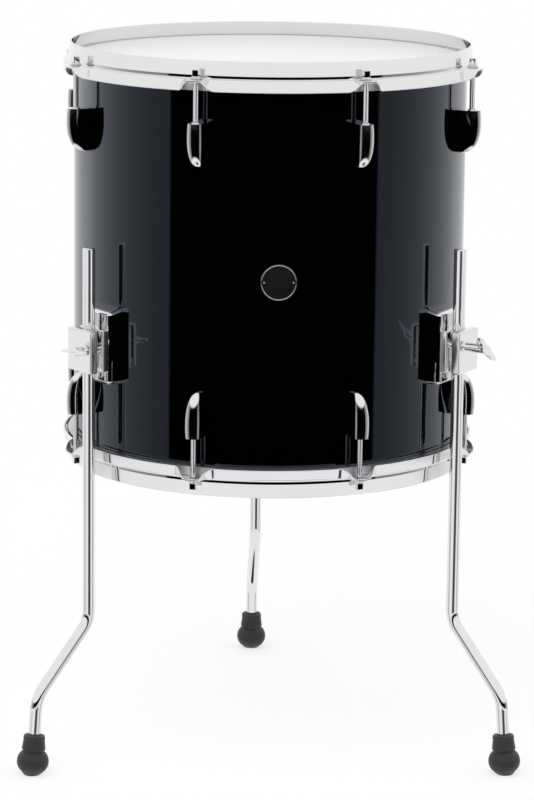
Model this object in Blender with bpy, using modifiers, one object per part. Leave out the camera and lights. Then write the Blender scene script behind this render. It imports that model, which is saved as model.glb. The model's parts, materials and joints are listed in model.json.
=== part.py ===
"""Floor tom: a 16 inch by 16 inch drum on three bent legs, as separate pieces, in metres, +Z up.

The badge faces -Y. Angles round the drum are measured from the badge towards +X, so a piece at
angle a stands at (R sin a, -R cos a) from the drum's axis.
"""

import math
from dataclasses import dataclass

import bmesh
import bpy
from mathutils import Vector

# Clearances
TOUCH_GAP = 0.0003
THREAD_GAP = 0.0003

# Shell
SHELL_RADIUS = 0.2032
SHELL_DEPTH = 0.4064
SHELL_WALL = 0.0074
SHELL_LIFT = 0.3133
EDGE_ROUND = 0.0016
ROUND_FACETS = 64
HOLE_FACETS = 12

# Drum heads and their flesh hoops
FILM = 0.0005
LIP_DROP = 0.0128
FLESH_HOOP_WALL = 0.0056
FLESH_HOOP_HEIGHT = 0.0090

# Counterhoops, bent from one sheet: collar, step and a skirt that swings out into eight ears
HOOP_SHEET = 0.0023
COLLAR_STANDOFF = 0.0054
COLLAR_RISE = 0.0151
STEP_DROP = 0.0027
SKIRT_REACH = 0.0057
SKIRT_DROP = 0.0121
EAR_REACH = 0.0170
EAR_FLAT = 0.0065
EAR_SWEEP = 0.0210

# Lugs and tension rods
LUG_PAIRS = 8
ROD_STANDOFF = 0.0142
ROD_RADIUS = 0.00275
ROD_GRIP = 0.0220
EAR_HOLE_RADIUS = 0.0036
LUG_MOUTH_DROP = 0.0457
LUG_LENGTH = 0.0440
LUG_REACH = 0.0240
LUG_HALF_WIDTH = 0.0081
LUG_WEB = 0.0026
LUG_MOUTH_DRAFT = 0.0009
LUG_LEAST_CREASE = 0.0006
WASHER_RADIUS = 0.0060
WASHER_THICK = 0.0012
FLANGE_RADIUS = 0.0049
KEY_SQUARE = 0.00635
KEY_HEIGHT = 0.0073

# Legs: a vertical rod, a slanted run from knee to ankle, and a nearly vertical end in the foot
LEG_RADIUS = 0.00635
LEG_STANDOFF = 0.0236
LEG_ANGLE = math.radians(55.8)
LEFT_LEG_SWIVEL = math.radians(3.0)
RIGHT_LEG_SWIVEL = math.radians(-9.2)
LEG_ABOVE_CLAMP = 0.1040
KNEE_HEIGHT = 0.1504
ANKLE_HEIGHT = 0.0794
ANKLE_REACH = 0.0663
FOOT_REACH = 0.0727
KNEE_BEND = 0.0280
ANKLE_BEND = 0.0380

# Rubber feet
FOOT_HEIGHT = 0.0410
FOOT_TOP_RADIUS = 0.0110
FOOT_LIP = 0.0012
FOOT_NECK_RADIUS = 0.0120
FOOT_NECK_HEIGHT = 0.0280
FOOT_BULB_RADIUS = 0.0164
FOOT_BULB_HEIGHT = 0.0135
FOOT_SOLE_RADIUS = 0.0085
FOOT_FLOOR = 0.0080

# Leg brackets
BRACKET_RISE = 0.1257
SPINE_WIDTH = 0.0450
SPINE_HEIGHT = 0.0800
SPINE_DEPTH = 0.0140
SPINE_SLOPE = 0.0040
SPINE_ROUND = 0.0040
JAW_WIDTH = 0.0405
JAW_DEPTH = 0.0098
JAW_HEIGHT = 0.0436
JAW_DROP = 0.0045
JAW_SPLIT = 0.0048
PLATE_THICK = 0.0098
BRACKET_ROUND = 0.0012

# Wing bolts and the bolts that hold the brackets
BOLT_OFFSET = 0.0135
BOLT_RADIUS = 0.0040
BOLT_SHAFT_RADIUS = 0.0050
BOLT_LENGTH = 0.0470
LEFT_BOLT_RISE = 0.0020
RIGHT_BOLT_RISE = 0.0070
REAR_BOLT_RISE = 0.0045
LEFT_BOLT_STAND = 0.0130
RIGHT_BOLT_STAND = 0.0270
REAR_BOLT_STAND = 0.0200
LEFT_WING_TILT = math.radians(-4.5)
RIGHT_WING_TILT = math.radians(40.0)
REAR_WING_TILT = math.radians(20.0)
WING_SPAN = 0.0450
WING_DEPTH = 0.0097
WING_THICK = 0.0040
WING_LEAN = 0.0030
FIXING_SPREAD = 0.0560
FIXING_RADIUS = 0.0030
FIXING_HEAD_RADIUS = 0.0056
FIXING_HEAD = 0.0036
FIXING_GRIP = 0.0060
BACKING_WIDTH = 0.0240
BACKING_HEIGHT = 0.0760
BACKING_THICK = 0.0020

# Badge and air vent
BADGE_RADIUS = 0.0185
BADGE_THICK = 0.0008
VENT_ANGLE = math.radians(135.0)
VENT_RADIUS = 0.0050
VENT_WALL = 0.0009
VENT_FLANGE = 0.0040
VENT_FLANGE_THICK = 0.0012

# Places that follow from the sizes
MID_HEIGHT = SHELL_LIFT + SHELL_DEPTH / 2
EDGE = SHELL_DEPTH / 2
SHELL_INSIDE = SHELL_RADIUS - SHELL_WALL
COLLAR_RADIUS = SHELL_RADIUS + COLLAR_STANDOFF
FACET_SAG = math.cos(math.pi / ROUND_FACETS)
HEAD_TOP = EDGE + TOUCH_GAP + FILM
STEP_TOP = EDGE - STEP_DROP
STEP_UNDER = STEP_TOP - HOOP_SHEET
LIP_INSIDE = SHELL_RADIUS + TOUCH_GAP
LIP_OUTSIDE = LIP_INSIDE + FILM
ROD_CIRCLE = SHELL_RADIUS + ROD_STANDOFF
EAR_RADIUS = COLLAR_RADIUS + EAR_REACH
BEND_RADIUS = COLLAR_RADIUS + SKIRT_REACH - HOOP_SHEET / 2
MOUTH_HEIGHT = EDGE - LUG_MOUTH_DROP
LEG_CIRCLE = SHELL_RADIUS + LEG_STANDOFF
BRACKET_HEIGHT = SHELL_LIFT + BRACKET_RISE
JAW_HEIGHT_MID = BRACKET_HEIGHT - JAW_DROP
LEG_TOP = JAW_HEIGHT_MID + LEG_ABOVE_CLAMP
FOOT_TILT = math.atan2(FOOT_REACH - ANKLE_REACH, ANKLE_HEIGHT)
BULB_REACH = FOOT_BULB_RADIUS * math.cos(FOOT_TILT) - FOOT_BULB_HEIGHT * math.sin(FOOT_TILT)
REAR_REACH = LEG_CIRCLE + FOOT_REACH + BULB_REACH
FRONT_REACH = COLLAR_RADIUS + SKIRT_REACH
AXIS_Y = (FRONT_REACH - REAR_REACH) / 2
BULB_CENTRE = FOOT_REACH - FOOT_BULB_HEIGHT * math.sin(FOOT_TILT)
LEFT_TURN = LEG_ANGLE - LEFT_LEG_SWIVEL
RIGHT_TURN = LEG_ANGLE + RIGHT_LEG_SWIVEL
AXIS_X = BULB_CENTRE * (math.sin(LEFT_TURN) - math.sin(RIGHT_TURN)) / 2

MERGE = 0.00001


@dataclass(frozen=True)
class LegPlace:
    """Where one leg stands: its angle round the drum and its own swivel in the bracket.

    hand is the side of the leg that the wing bolt is on. rise is the bolt's height over the jaw's
    middle, stand is how far it is screwed out of the clamp plate, and tilt is the turn of its wings.
    """

    side: str
    angle: float
    swivel: float
    hand: int
    rise: float
    stand: float
    tilt: float


LEG_PLACES = (
    LegPlace(
        "left", -LEG_ANGLE, LEFT_LEG_SWIVEL, 1, LEFT_BOLT_RISE, LEFT_BOLT_STAND, LEFT_WING_TILT
    ),
    LegPlace(
        "right", LEG_ANGLE, RIGHT_LEG_SWIVEL, -1, RIGHT_BOLT_RISE, RIGHT_BOLT_STAND, RIGHT_WING_TILT
    ),
    LegPlace("rear", math.pi, 0.0, 1, REAR_BOLT_RISE, REAR_BOLT_STAND, REAR_WING_TILT),
)


def clear_scene():
    """Remove every object of the startup scene."""
    for item in list(bpy.data.objects):
        bpy.data.objects.remove(item, do_unlink=True)


def new_collection(name):
    """Return a new collection linked to the scene."""
    collection = bpy.data.collections.new(name)
    bpy.context.scene.collection.children.link(collection)
    return collection


def finish(name, colour, roughness, metallic):
    """Return a Principled material."""
    material = bpy.data.materials.new(name)
    material.use_nodes = True
    shader = material.node_tree.nodes["Principled BSDF"]
    shader.inputs["Base Color"].default_value = (*colour, 1.0)
    shader.inputs["Roughness"].default_value = roughness
    shader.inputs["Metallic"].default_value = metallic
    return material


clear_scene()
PARTS = new_collection("floor_tom")
CUTTERS = new_collection("cutters")

CHROME = finish("chrome", (0.80, 0.80, 0.82), 0.06, 1.0)
BLACK_GLOSS = finish("black_gloss_lacquer", (0.006, 0.006, 0.007), 0.05, 0.0)
WHITE_FILM = finish("white_film", (0.90, 0.90, 0.90), 0.25, 0.0)
ALUMINIUM = finish("aluminium_channel", (0.75, 0.75, 0.76), 0.35, 1.0)
RUBBER = finish("black_rubber", (0.015, 0.015, 0.015), 0.75, 0.0)
BADGE_BLACK = finish("badge_enamel", (0.010, 0.010, 0.012), 0.20, 0.0)
STEEL = finish("zinc_steel", (0.62, 0.62, 0.62), 0.30, 1.0)


def new_object(name, mesh, collection=PARTS, material=None, parent=None):
    """Link a mesh as an object, with its material and its parent."""
    item = bpy.data.objects.new(name, mesh)
    collection.objects.link(item)
    if material is not None:
        mesh.materials.clear()
        mesh.materials.append(material)
    item.parent = parent
    return item


def new_empty(name, location, turn=0.0, parent=None):
    """Return an empty that carries other pieces."""
    empty = bpy.data.objects.new(name, None)
    PARTS.objects.link(empty)
    empty.location = location
    empty.rotation_euler = (0.0, 0.0, turn)
    empty.parent = parent
    return empty


def as_cutter(item):
    """Show a cutter as wires and keep it out of renders."""
    item.display_type = "WIRE"
    item.hide_render = True
    return item


def smooth(mesh, angle=math.radians(40)):
    """Shade a mesh smooth up to an edge angle."""
    mesh.shade_smooth()
    mesh.set_sharp_from_angle(angle=angle)


def baked(item, name):
    """Return the evaluated mesh of an object, welded, and remove the object."""
    depsgraph = bpy.context.evaluated_depsgraph_get()
    mesh = bpy.data.meshes.new_from_object(item.evaluated_get(depsgraph))
    mesh.name = name
    shape = bmesh.new()
    shape.from_mesh(mesh)
    bmesh.ops.remove_doubles(shape, verts=shape.verts, dist=MERGE)
    shape.to_mesh(mesh)
    shape.free()
    bpy.data.objects.remove(item, do_unlink=True)
    return mesh


def turned(name, points, facets, collection=PARTS, material=None, parent=None):
    """Return an object turned about Z from a closed profile of (radius, height) points.

    The points run down the outer side, top to bottom.
    """
    mesh = bpy.data.meshes.new(name)
    shape = bmesh.new()
    corners = [shape.verts.new((radius, 0.0, height)) for radius, height in points]
    on_axis = points[0][0] < MERGE and points[-1][0] < MERGE
    pairs = list(zip(corners, corners[1:]))
    if not on_axis:
        pairs.append((corners[-1], corners[0]))
    for pair in pairs:
        shape.edges.new(pair)
    shape.to_mesh(mesh)
    shape.free()
    item = new_object(name, mesh, collection, material, parent)
    screw = item.modifiers.new("turn", "SCREW")
    screw.axis = "Z"
    screw.steps = facets
    screw.render_steps = facets
    screw.use_merge_vertices = True
    screw.merge_threshold = MERGE
    return item


def rounded(item, width):
    """Bevel the edges of an object."""
    bevel = item.modifiers.new("round", "BEVEL")
    bevel.width = width
    bevel.segments = 1
    return item


def block(name, size, centre, round_edge=0.0, collection=PARTS):
    """Return a box object of a given size, with an optional bevel."""
    mesh = bpy.data.meshes.new(name)
    shape = bmesh.new()
    bmesh.ops.create_cube(shape, size=1.0)
    bmesh.ops.scale(shape, vec=Vector(size), verts=shape.verts)
    bmesh.ops.translate(shape, vec=Vector(centre), verts=shape.verts)
    shape.to_mesh(mesh)
    shape.free()
    item = new_object(name, mesh, collection)
    if round_edge > 0.0:
        rounded(item, round_edge)
    return item


def rod(name, radius, start, end, facets, collection=CUTTERS):
    """Return a closed cylinder object from one point to another."""
    mesh = bpy.data.meshes.new(name)
    start, end = Vector(start), Vector(end)
    line = end - start
    shape = bmesh.new()
    bmesh.ops.create_cone(
        shape, cap_ends=True, segments=facets, radius1=radius, radius2=radius, depth=line.length
    )
    turn = Vector((0.0, 0.0, 1.0)).rotation_difference(line).to_matrix().to_4x4()
    turn.translation = (start + end) / 2
    bmesh.ops.transform(shape, matrix=turn, verts=shape.verts)
    shape.to_mesh(mesh)
    shape.free()
    return new_object(name, mesh, collection)


def combine(item, other, operation):
    """Add a Boolean of one object with another."""
    boolean = item.modifiers.new(other.name, "BOOLEAN")
    boolean.operation = operation
    boolean.solver = "EXACT"
    boolean.object = other


def combined(name, item, unions=(), cuts=()):
    """Join and cut an object with others, and return the baked mesh. The others are removed."""
    for other in unions:
        combine(item, other, "UNION")
    for other in cuts:
        combine(item, other, "DIFFERENCE")
    mesh = baked(item, name)
    for other in (*unions, *cuts):
        bpy.data.objects.remove(other, do_unlink=True)
    smooth(mesh)
    return mesh


def lofted(name, sections, closed_path):
    """Return a mesh that joins equal-length closed sections, in order.

    An open path gets flat ends. Each section lists its points the same way round.
    """
    mesh = bpy.data.meshes.new(name)
    shape = bmesh.new()
    rings = [[shape.verts.new(point) for point in section] for section in sections]
    following = rings[1:] + rings[:1] if closed_path else rings[1:]
    for ring, after in zip(rings, following):
        for here in range(len(ring)):
            there = (here + 1) % len(ring)
            shape.faces.new((ring[here], ring[there], after[there], after[here]))
    if not closed_path:
        shape.faces.new(rings[0])
        shape.faces.new(rings[-1])
    bmesh.ops.recalc_face_normals(shape, faces=shape.faces)
    shape.to_mesh(mesh)
    shape.free()
    return mesh


def lug_angles():
    """Return the angles of the lugs, half a step either side of the badge and on round."""
    step = 2 * math.pi / LUG_PAIRS
    return [step * (index + 0.5) for index in range(LUG_PAIRS)]


def side_place(angle):
    """Return a lug's place in words, from the drummer's view of the badge."""
    degrees = round(math.degrees(math.atan2(math.sin(angle), math.cos(angle))))
    side = "right" if degrees > 0 else "left"
    quarter = ("front", "front_side", "rear_side", "rear")[min(3, abs(degrees) // 45)]
    return f"{quarter}_{side}"


def smoothstep(value):
    """Return a smooth rise from 0 to 1."""
    value = min(1.0, max(0.0, value))
    return value * value * (3 - 2 * value)


# Shell, vent and badge


def fixing_heights():
    """Return the two heights of a bracket's bolts from the bracket's middle."""
    return (-FIXING_SPREAD / 2, FIXING_SPREAD / 2)


def at_angle(radius, angle, height):
    """Return a point round the drum's axis."""
    return (radius * math.sin(angle), -radius * math.cos(angle), height)


def make_shell(drum):
    """Turn the shell with its bearing edges, and drill the vent and the bracket bolt holes."""
    ridge = SHELL_RADIUS - EDGE_ROUND
    edge_slope = ridge - SHELL_INSIDE
    shell = turned(
        "shell",
        [
            (ridge, EDGE),
            (SHELL_RADIUS, EDGE - EDGE_ROUND),
            (SHELL_RADIUS, EDGE_ROUND - EDGE),
            (ridge, -EDGE),
            (SHELL_INSIDE, edge_slope - EDGE),
            (SHELL_INSIDE, EDGE - edge_slope),
        ],
        ROUND_FACETS,
        material=BLACK_GLOSS,
        parent=drum,
    )
    inner, outer = SHELL_INSIDE - SHELL_WALL, SHELL_RADIUS + SHELL_WALL
    holes = [("vent_drill", VENT_ANGLE, 0.0, VENT_RADIUS + VENT_WALL + TOUCH_GAP)]
    for place in LEG_PLACES:
        for height in fixing_heights():
            level = BRACKET_HEIGHT + height - MID_HEIGHT
            holes.append((f"{place.side}_drill", place.angle, level, FIXING_RADIUS + THREAD_GAP))
    for name, angle, height, radius in holes:
        ends = at_angle(inner, angle, height), at_angle(outer, angle, height)
        drill = rod(name, radius, *ends, HOLE_FACETS)
        drill.parent = drum
        combine(shell, as_cutter(drill), "DIFFERENCE")


def make_vent(drum):
    """Turn the air vent's grommet, an eyelet clinched over both sides of the shell."""
    flange = VENT_RADIUS + VENT_FLANGE
    tube = VENT_RADIUS + VENT_WALL
    outside = SHELL_RADIUS + TOUCH_GAP
    inside = SHELL_INSIDE * FACET_SAG - TOUCH_GAP - flange**2 / SHELL_INSIDE / 2
    top, bottom = outside + VENT_FLANGE_THICK, inside - VENT_FLANGE_THICK
    grommet = turned(
        "vent_grommet",
        [
            (VENT_RADIUS, top),
            (flange, top),
            (flange, outside),
            (tube, outside),
            (tube, inside),
            (flange, inside),
            (flange, bottom),
            (VENT_RADIUS, bottom),
        ],
        16,
        material=CHROME,
        parent=drum,
    )
    grommet.rotation_euler = (math.pi / 2, 0.0, VENT_ANGLE)


def make_badge(drum):
    """Cut the round badge from a thin band that follows the shell."""
    inner = SHELL_RADIUS + TOUCH_GAP
    outer = inner + BADGE_THICK
    height = BADGE_RADIUS + TOUCH_GAP
    badge = turned(
        "badge",
        [(outer, height), (outer, -height), (inner, -height), (inner, height)],
        ROUND_FACETS,
        material=BADGE_BLACK,
        parent=drum,
    )
    punch = rod("badge_punch", BADGE_RADIUS, (0, -inner / 2, 0), (0, -outer * 2, 0), 32)
    punch.parent = drum
    combine(badge, as_cutter(punch), "INTERSECT")


# Heads, flesh hoops and counterhoops


def make_heads(drum):
    """Turn the two heads: a film drawn over the bearing edge with a lip down outside the shell."""
    ridge = SHELL_RADIUS - EDGE_ROUND
    under = EDGE + TOUCH_GAP
    shoulder = under - EDGE_ROUND
    lip = HEAD_TOP - LIP_DROP
    points = [
        (0.0, HEAD_TOP),
        (ridge, HEAD_TOP),
        (LIP_OUTSIDE, shoulder + FILM / 2),
        (LIP_OUTSIDE, lip),
        (LIP_INSIDE, lip),
        (LIP_INSIDE, shoulder),
        (ridge, under),
        (0.0, under),
    ]
    batter = turned("batter_head", points, ROUND_FACETS, material=WHITE_FILM, parent=drum)
    resonant = turned("resonant_head", points, ROUND_FACETS, material=WHITE_FILM, parent=drum)
    resonant.rotation_euler = (math.pi, 0.0, 0.0)
    return batter, resonant


def make_flesh_hoops(drum):
    """Turn the channel rings that grip the two films, each under its counterhoop's step."""
    top = STEP_UNDER - TOUCH_GAP
    inner = LIP_OUTSIDE + TOUCH_GAP
    outer = inner + FLESH_HOOP_WALL
    bottom = top - FLESH_HOOP_HEIGHT
    points = [(outer, top), (outer, bottom), (inner, bottom), (inner, top)]
    turned("batter_flesh_hoop", points, ROUND_FACETS, material=ALUMINIUM, parent=drum)
    lower = turned("resonant_flesh_hoop", points, ROUND_FACETS, material=ALUMINIUM, parent=drum)
    lower.rotation_euler = (math.pi, 0.0, 0.0)


def hoop_section(flare):
    """Return a counterhoop's section as (radius, height) points.

    flare is 0 where the flange hangs as a skirt and 1 where it stands out as an ear.
    """
    half = HOOP_SHEET / 2
    drop = (1 - flare) * math.pi / 2
    length = (1 - flare) * (SKIRT_DROP - half) + flare * (EAR_RADIUS - BEND_RADIUS)
    along = Vector((math.cos(drop), -math.sin(drop)))
    across = Vector((math.sin(drop), math.cos(drop)))
    level = Vector((0.0, 1.0))
    bend = Vector((BEND_RADIUS, STEP_TOP - half))
    mitre = (level + across) * half / (1 + level.dot(across))
    end = bend + along * length
    collar_top = EDGE + COLLAR_RISE
    inner = COLLAR_RADIUS - HOOP_SHEET
    return [
        (COLLAR_RADIUS, collar_top),
        (COLLAR_RADIUS, STEP_TOP),
        tuple(bend + mitre),
        tuple(end + across * half),
        tuple(end - across * half),
        tuple(bend - mitre),
        (inner, STEP_UNDER),
        (inner, collar_top),
    ]


def hoop_stations(swings=3, plains=3):
    """Return the (angle, flare) stations of one hoop, close together where the flange swings."""
    step = 2 * math.pi / LUG_PAIRS
    sweep = [EAR_FLAT + (EAR_SWEEP - EAR_FLAT) * part / swings for part in range(swings + 1)]
    offsets = [reach / ROD_CIRCLE for reach in sweep]
    plain = (step / 2 - offsets[-1]) / plains
    half = [0.0] + offsets + [offsets[-1] + plain * part for part in range(1, plains)]
    around = [-offset for offset in reversed(half[1:])] + half + [step / 2]
    stations = []
    for middle in lug_angles():
        for offset in around:
            reach = (abs(offset) * ROD_CIRCLE - EAR_FLAT) / (EAR_SWEEP - EAR_FLAT)
            stations.append((middle + offset, 1 - smoothstep(reach)))
    return stations


def make_counterhoops(drum):
    """Loft the bent-sheet hoop round the drum and drill its ears, once for each end."""
    sections = []
    for angle, flare in hoop_stations():
        sections.append([at_angle(radius, angle, height) for radius, height in hoop_section(flare)])
    blank = new_object("hoop_blank", lofted("hoop_blank", sections, True))
    drills = []
    for angle in lug_angles():
        low = at_angle(ROD_CIRCLE, angle, STEP_UNDER - HOOP_SHEET)
        high = at_angle(ROD_CIRCLE, angle, STEP_TOP + HOOP_SHEET)
        drills.append(rod("ear_drill", EAR_HOLE_RADIUS, low, high, HOLE_FACETS))
    mesh = combined("counterhoop", blank, cuts=drills)
    new_object("batter_hoop", mesh, material=CHROME, parent=drum)
    lower = new_object("resonant_hoop", mesh, parent=drum)
    lower.rotation_euler = (math.pi, 0.0, 0.0)


# Lugs and tension rods


def lug_section(part, widest=0.30, crease_end=0.72, web_end=0.62, tip=0.20, flank=0.97):
    """Return a lug's section at a part of its length from the mouth, with the shell side at +Y.

    The barrel is round in front. A crease runs from the mouth's shell corner out to the barrel,
    and behind it the flanks draw in to a web. The lug is fullest at its widest part, the crease
    meets the barrel at crease_end and the web is thinnest from web_end on. tip is the end's share
    of the full size, and flank the crease's share of the half width.
    """
    past = max(0.0, (part - widest) / (1 - widest))
    before = max(0.0, 1 - part / widest)
    size = max(tip, math.sqrt(max(0.0, 1 - past * past)))
    draft = LUG_MOUTH_DRAFT * before * before
    reach = (LUG_REACH - draft) * size
    width = (LUG_HALF_WIDTH - draft / 2) * size
    web = max(min(LUG_WEB, width * flank), width * (1 - part / web_end) * flank)
    barrel = max(reach - width, reach / 3)
    crease = max(LUG_LEAST_CREASE, barrel * min(1.0, part / crease_end))
    back = ROD_STANDOFF - TOUCH_GAP
    height = -part * LUG_LENGTH
    arc = [math.radians(degrees) for degrees in (0, 45, 90, 135, 180)]
    outline = [(web, 0.0), (width * flank, crease)]
    outline += [(width * math.cos(turn), barrel + (reach - barrel) * math.sin(turn)) for turn in arc]
    outline += [(-width * flank, crease), (-web, 0.0)]
    return [(across, back - out, height) for across, out in outline]


def make_lugs(drum):
    """Loft the teardrop lug once, bore it for the rod, and set it round both ends of the shell."""
    parts = (0.0, 0.15, 0.32, 0.55, 0.75, 0.90, 1.0)
    blank = new_object("lug_blank", lofted("lug_blank", [lug_section(part) for part in parts], False))
    depth = ROD_GRIP + 2 * THREAD_GAP
    bore = rod("lug_bore", ROD_RADIUS + THREAD_GAP, (0, 0, -depth), (0, 0, ROD_GRIP), 8)
    mesh = combined("lug", blank, cuts=[bore])
    for angle in lug_angles():
        for end, height, flip in (("top", MOUTH_HEIGHT, 0.0), ("bottom", -MOUTH_HEIGHT, math.pi)):
            lug = new_object(f"lug_{end}_{side_place(angle)}", mesh, material=CHROME, parent=drum)
            lug.location = at_angle(ROD_CIRCLE, angle, height)
            lug.rotation_euler = (0.0, flip, angle)


def make_rods(drum):
    """Make the tension rod once, with its washer, flange and square key head, and set all sixteen."""
    washer = TOUCH_GAP + WASHER_THICK
    flange = washer + WASHER_THICK
    length = STEP_TOP - MOUTH_HEIGHT + ROD_GRIP
    shank = turned(
        "rod_blank",
        [
            (0.0, flange + TOUCH_GAP),
            (FLANGE_RADIUS * 0.8, flange + TOUCH_GAP),
            (FLANGE_RADIUS, flange),
            (FLANGE_RADIUS, washer),
            (WASHER_RADIUS, washer),
            (WASHER_RADIUS, TOUCH_GAP),
            (ROD_RADIUS, TOUCH_GAP),
            (ROD_RADIUS, -length),
            (0.0, -length),
        ],
        8,
    )
    key_size = (KEY_SQUARE, KEY_SQUARE, KEY_HEIGHT + WASHER_THICK)
    key = block("key_head", key_size, (0.0, 0.0, flange + (KEY_HEIGHT - WASHER_THICK) / 2))
    mesh = combined("tension_rod", shank, unions=[key])
    for angle in lug_angles():
        for end, height, flip in (("top", STEP_TOP, 0.0), ("bottom", -STEP_TOP, math.pi)):
            name = f"tension_rod_{end}_{side_place(angle)}"
            item = new_object(name, mesh, material=CHROME, parent=drum)
            item.location = at_angle(ROD_CIRCLE, angle, height)
            item.rotation_euler = (0.0, flip, angle)


# Leg brackets. In a bracket's own frame -Y points outwards from the shell and Y is 0 on its skin.


def make_bracket(place, station):
    """Make a bracket's base: a spine shaped to the shell and a jaw with half the leg's groove."""
    back = -TOUCH_GAP
    half_width, half_height = SPINE_WIDTH / 2, SPINE_HEIGHT / 2
    skin_fall = SHELL_RADIUS - math.sqrt(SHELL_RADIUS**2 - half_width**2)
    ends = []
    for out, slope in ((skin_fall + SPINE_ROUND, 0.0), (back - SPINE_DEPTH, SPINE_SLOPE)):
        top = half_height - slope
        ends.append(
            [
                (-half_width, out, -half_height),
                (half_width, out, -half_height),
                (half_width, out, top),
                (-half_width, out, top),
            ]
        )
    spine = rounded(new_object("bracket_blank", lofted("bracket_blank", ends, False)), SPINE_ROUND)
    jaw_front = -LEG_STANDOFF + JAW_SPLIT / 2
    jaw_back = jaw_front + JAW_DEPTH
    jaw = block(
        "jaw",
        (JAW_WIDTH, JAW_DEPTH, JAW_HEIGHT),
        (0.0, (jaw_front + jaw_back) / 2, -JAW_DROP),
        BRACKET_ROUND,
    )
    reach = SPINE_HEIGHT
    skin_ends = (0, SHELL_RADIUS, -reach), (0, SHELL_RADIUS, reach)
    skin = rod("skin", SHELL_RADIUS + TOUCH_GAP, *skin_ends, 4 * ROUND_FACETS)
    groove = rod(
        "groove", LEG_RADIUS + TOUCH_GAP, (0, -LEG_STANDOFF, -reach), (0, -LEG_STANDOFF, reach), 16
    )
    bolt_x, bolt_z = place.hand * BOLT_OFFSET, place.rise - JAW_DROP
    bore_ends = (bolt_x, JAW_DEPTH, bolt_z), (bolt_x, jaw_front - JAW_DEPTH, bolt_z)
    bore = rod("bolt_bore", BOLT_RADIUS + THREAD_GAP, *bore_ends, HOLE_FACETS)
    fixings = []
    for height in fixing_heights():
        deep = back - FIXING_GRIP - 2 * THREAD_GAP
        ends = (0, deep, height), (0, SHELL_WALL, height)
        fixings.append(rod("fixing_bore", FIXING_RADIUS + THREAD_GAP, *ends, HOLE_FACETS))
    name = f"bracket_{place.side}"
    mesh = combined(name, spine, unions=[jaw], cuts=[skin, groove, bore, *fixings])
    new_object(name, mesh, material=CHROME, parent=station)


def make_backing(side, station):
    """Make the plate inside the shell with the two bolts that hold the bracket."""
    outer = SHELL_INSIDE * FACET_SAG - TOUCH_GAP
    sag = outer - math.sqrt(outer**2 - (BACKING_WIDTH / 2) ** 2)
    face = SHELL_RADIUS - outer + sag
    plate = block(
        "backing_blank",
        (BACKING_WIDTH, BACKING_THICK, BACKING_HEIGHT),
        (0.0, face + BACKING_THICK / 2, 0.0),
    )
    shanks = []
    for height in fixing_heights():
        tip = -TOUCH_GAP - FIXING_GRIP
        seat = face + BACKING_THICK
        shanks.append(rod("fixing", FIXING_RADIUS, (0, tip, height), (0, seat, height), 10))
        head = rod(
            "fixing_head",
            FIXING_HEAD_RADIUS,
            (0, seat - BACKING_THICK / 2, height),
            (0, seat + FIXING_HEAD, height),
            6,
        )
        shanks.append(head)
    mesh = combined(f"backing_plate_{side}", plate, unions=shanks)
    new_object(f"backing_plate_{side}", mesh, material=STEEL, parent=station)


def make_clamp_plate(place, station):
    """Make the outer clamp plate, with its half of the leg's groove, on the wing bolt's axis."""
    inner = -LEG_STANDOFF - JAW_SPLIT / 2
    middle = -place.hand * BOLT_OFFSET
    blank = block(
        "plate_blank",
        (JAW_WIDTH, PLATE_THICK, JAW_HEIGHT),
        (middle, -PLATE_THICK / 2, -place.rise),
        BRACKET_ROUND,
    )
    groove_y = JAW_SPLIT / 2
    groove = rod(
        "groove",
        LEG_RADIUS + TOUCH_GAP,
        (middle, groove_y, -JAW_HEIGHT),
        (middle, groove_y, JAW_HEIGHT),
        16,
    )
    hole_ends = (0, PLATE_THICK, 0), (0, -2 * PLATE_THICK, 0)
    hole = rod("bolt_hole", BOLT_RADIUS + THREAD_GAP, *hole_ends, HOLE_FACETS)
    name = f"clamp_plate_{place.side}"
    mesh = combined(name, blank, cuts=[groove, hole])
    plate = new_object(name, mesh, material=CHROME, parent=station)
    plate.location = (-middle, inner, place.rise - JAW_DROP)
    return plate


def wing_outline(steps=7):
    """Return the wings' outline, a bow of two lobes that lean away from the bracket."""
    half = WING_SPAN / 2
    upper, lower = [], []
    for index in range(-steps, steps + 1):
        along = math.sin(index / steps * math.pi / 2)
        depth = WING_DEPTH / 2 * math.sqrt(max(0.0, 1 - abs(along) ** 3))
        middle = WING_LEAN * along**2
        upper.append((along * half, middle + depth))
        lower.append((along * half, middle - depth))
    return upper + lower[-2:0:-1]


def make_wing_bolt(place, plate):
    """Make the wing bolt: thread, shaft and two flat wings."""
    face = PLATE_THICK + TOUCH_GAP
    tip = face + place.stand
    shank = turned(
        "bolt_blank",
        [
            (0.0, tip),
            (BOLT_SHAFT_RADIUS * 0.8, tip),
            (BOLT_SHAFT_RADIUS, tip - TOUCH_GAP * 3),
            (BOLT_SHAFT_RADIUS, face),
            (BOLT_RADIUS, face),
            (BOLT_RADIUS, tip - BOLT_LENGTH),
            (0.0, tip - BOLT_LENGTH),
        ],
        HOLE_FACETS,
    )
    curve = bpy.data.curves.new("wing_curve", "CURVE")
    curve.dimensions = "2D"
    curve.fill_mode = "BOTH"
    curve.extrude = WING_THICK / 2
    outline = wing_outline()
    spline = curve.splines.new("POLY")
    spline.points.add(len(outline) - 1)
    for point, (across, along) in zip(spline.points, outline):
        point.co = (across, along + tip, 0.0, 1.0)
    spline.use_cyclic_u = True
    wing_mesh = baked(new_object("wing_curve", curve), "wings")
    wings = new_object("wings", wing_mesh)
    wings.rotation_euler = (math.pi / 2, 0.0, 0.0)
    bpy.context.view_layer.update()
    name = f"wing_bolt_{place.side}"
    mesh = combined(name, shank, unions=[wings])
    bolt = new_object(name, mesh, material=CHROME, parent=plate)
    bolt.rotation_euler = (math.pi / 2, place.tilt, 0.0)


# Legs and feet


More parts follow.
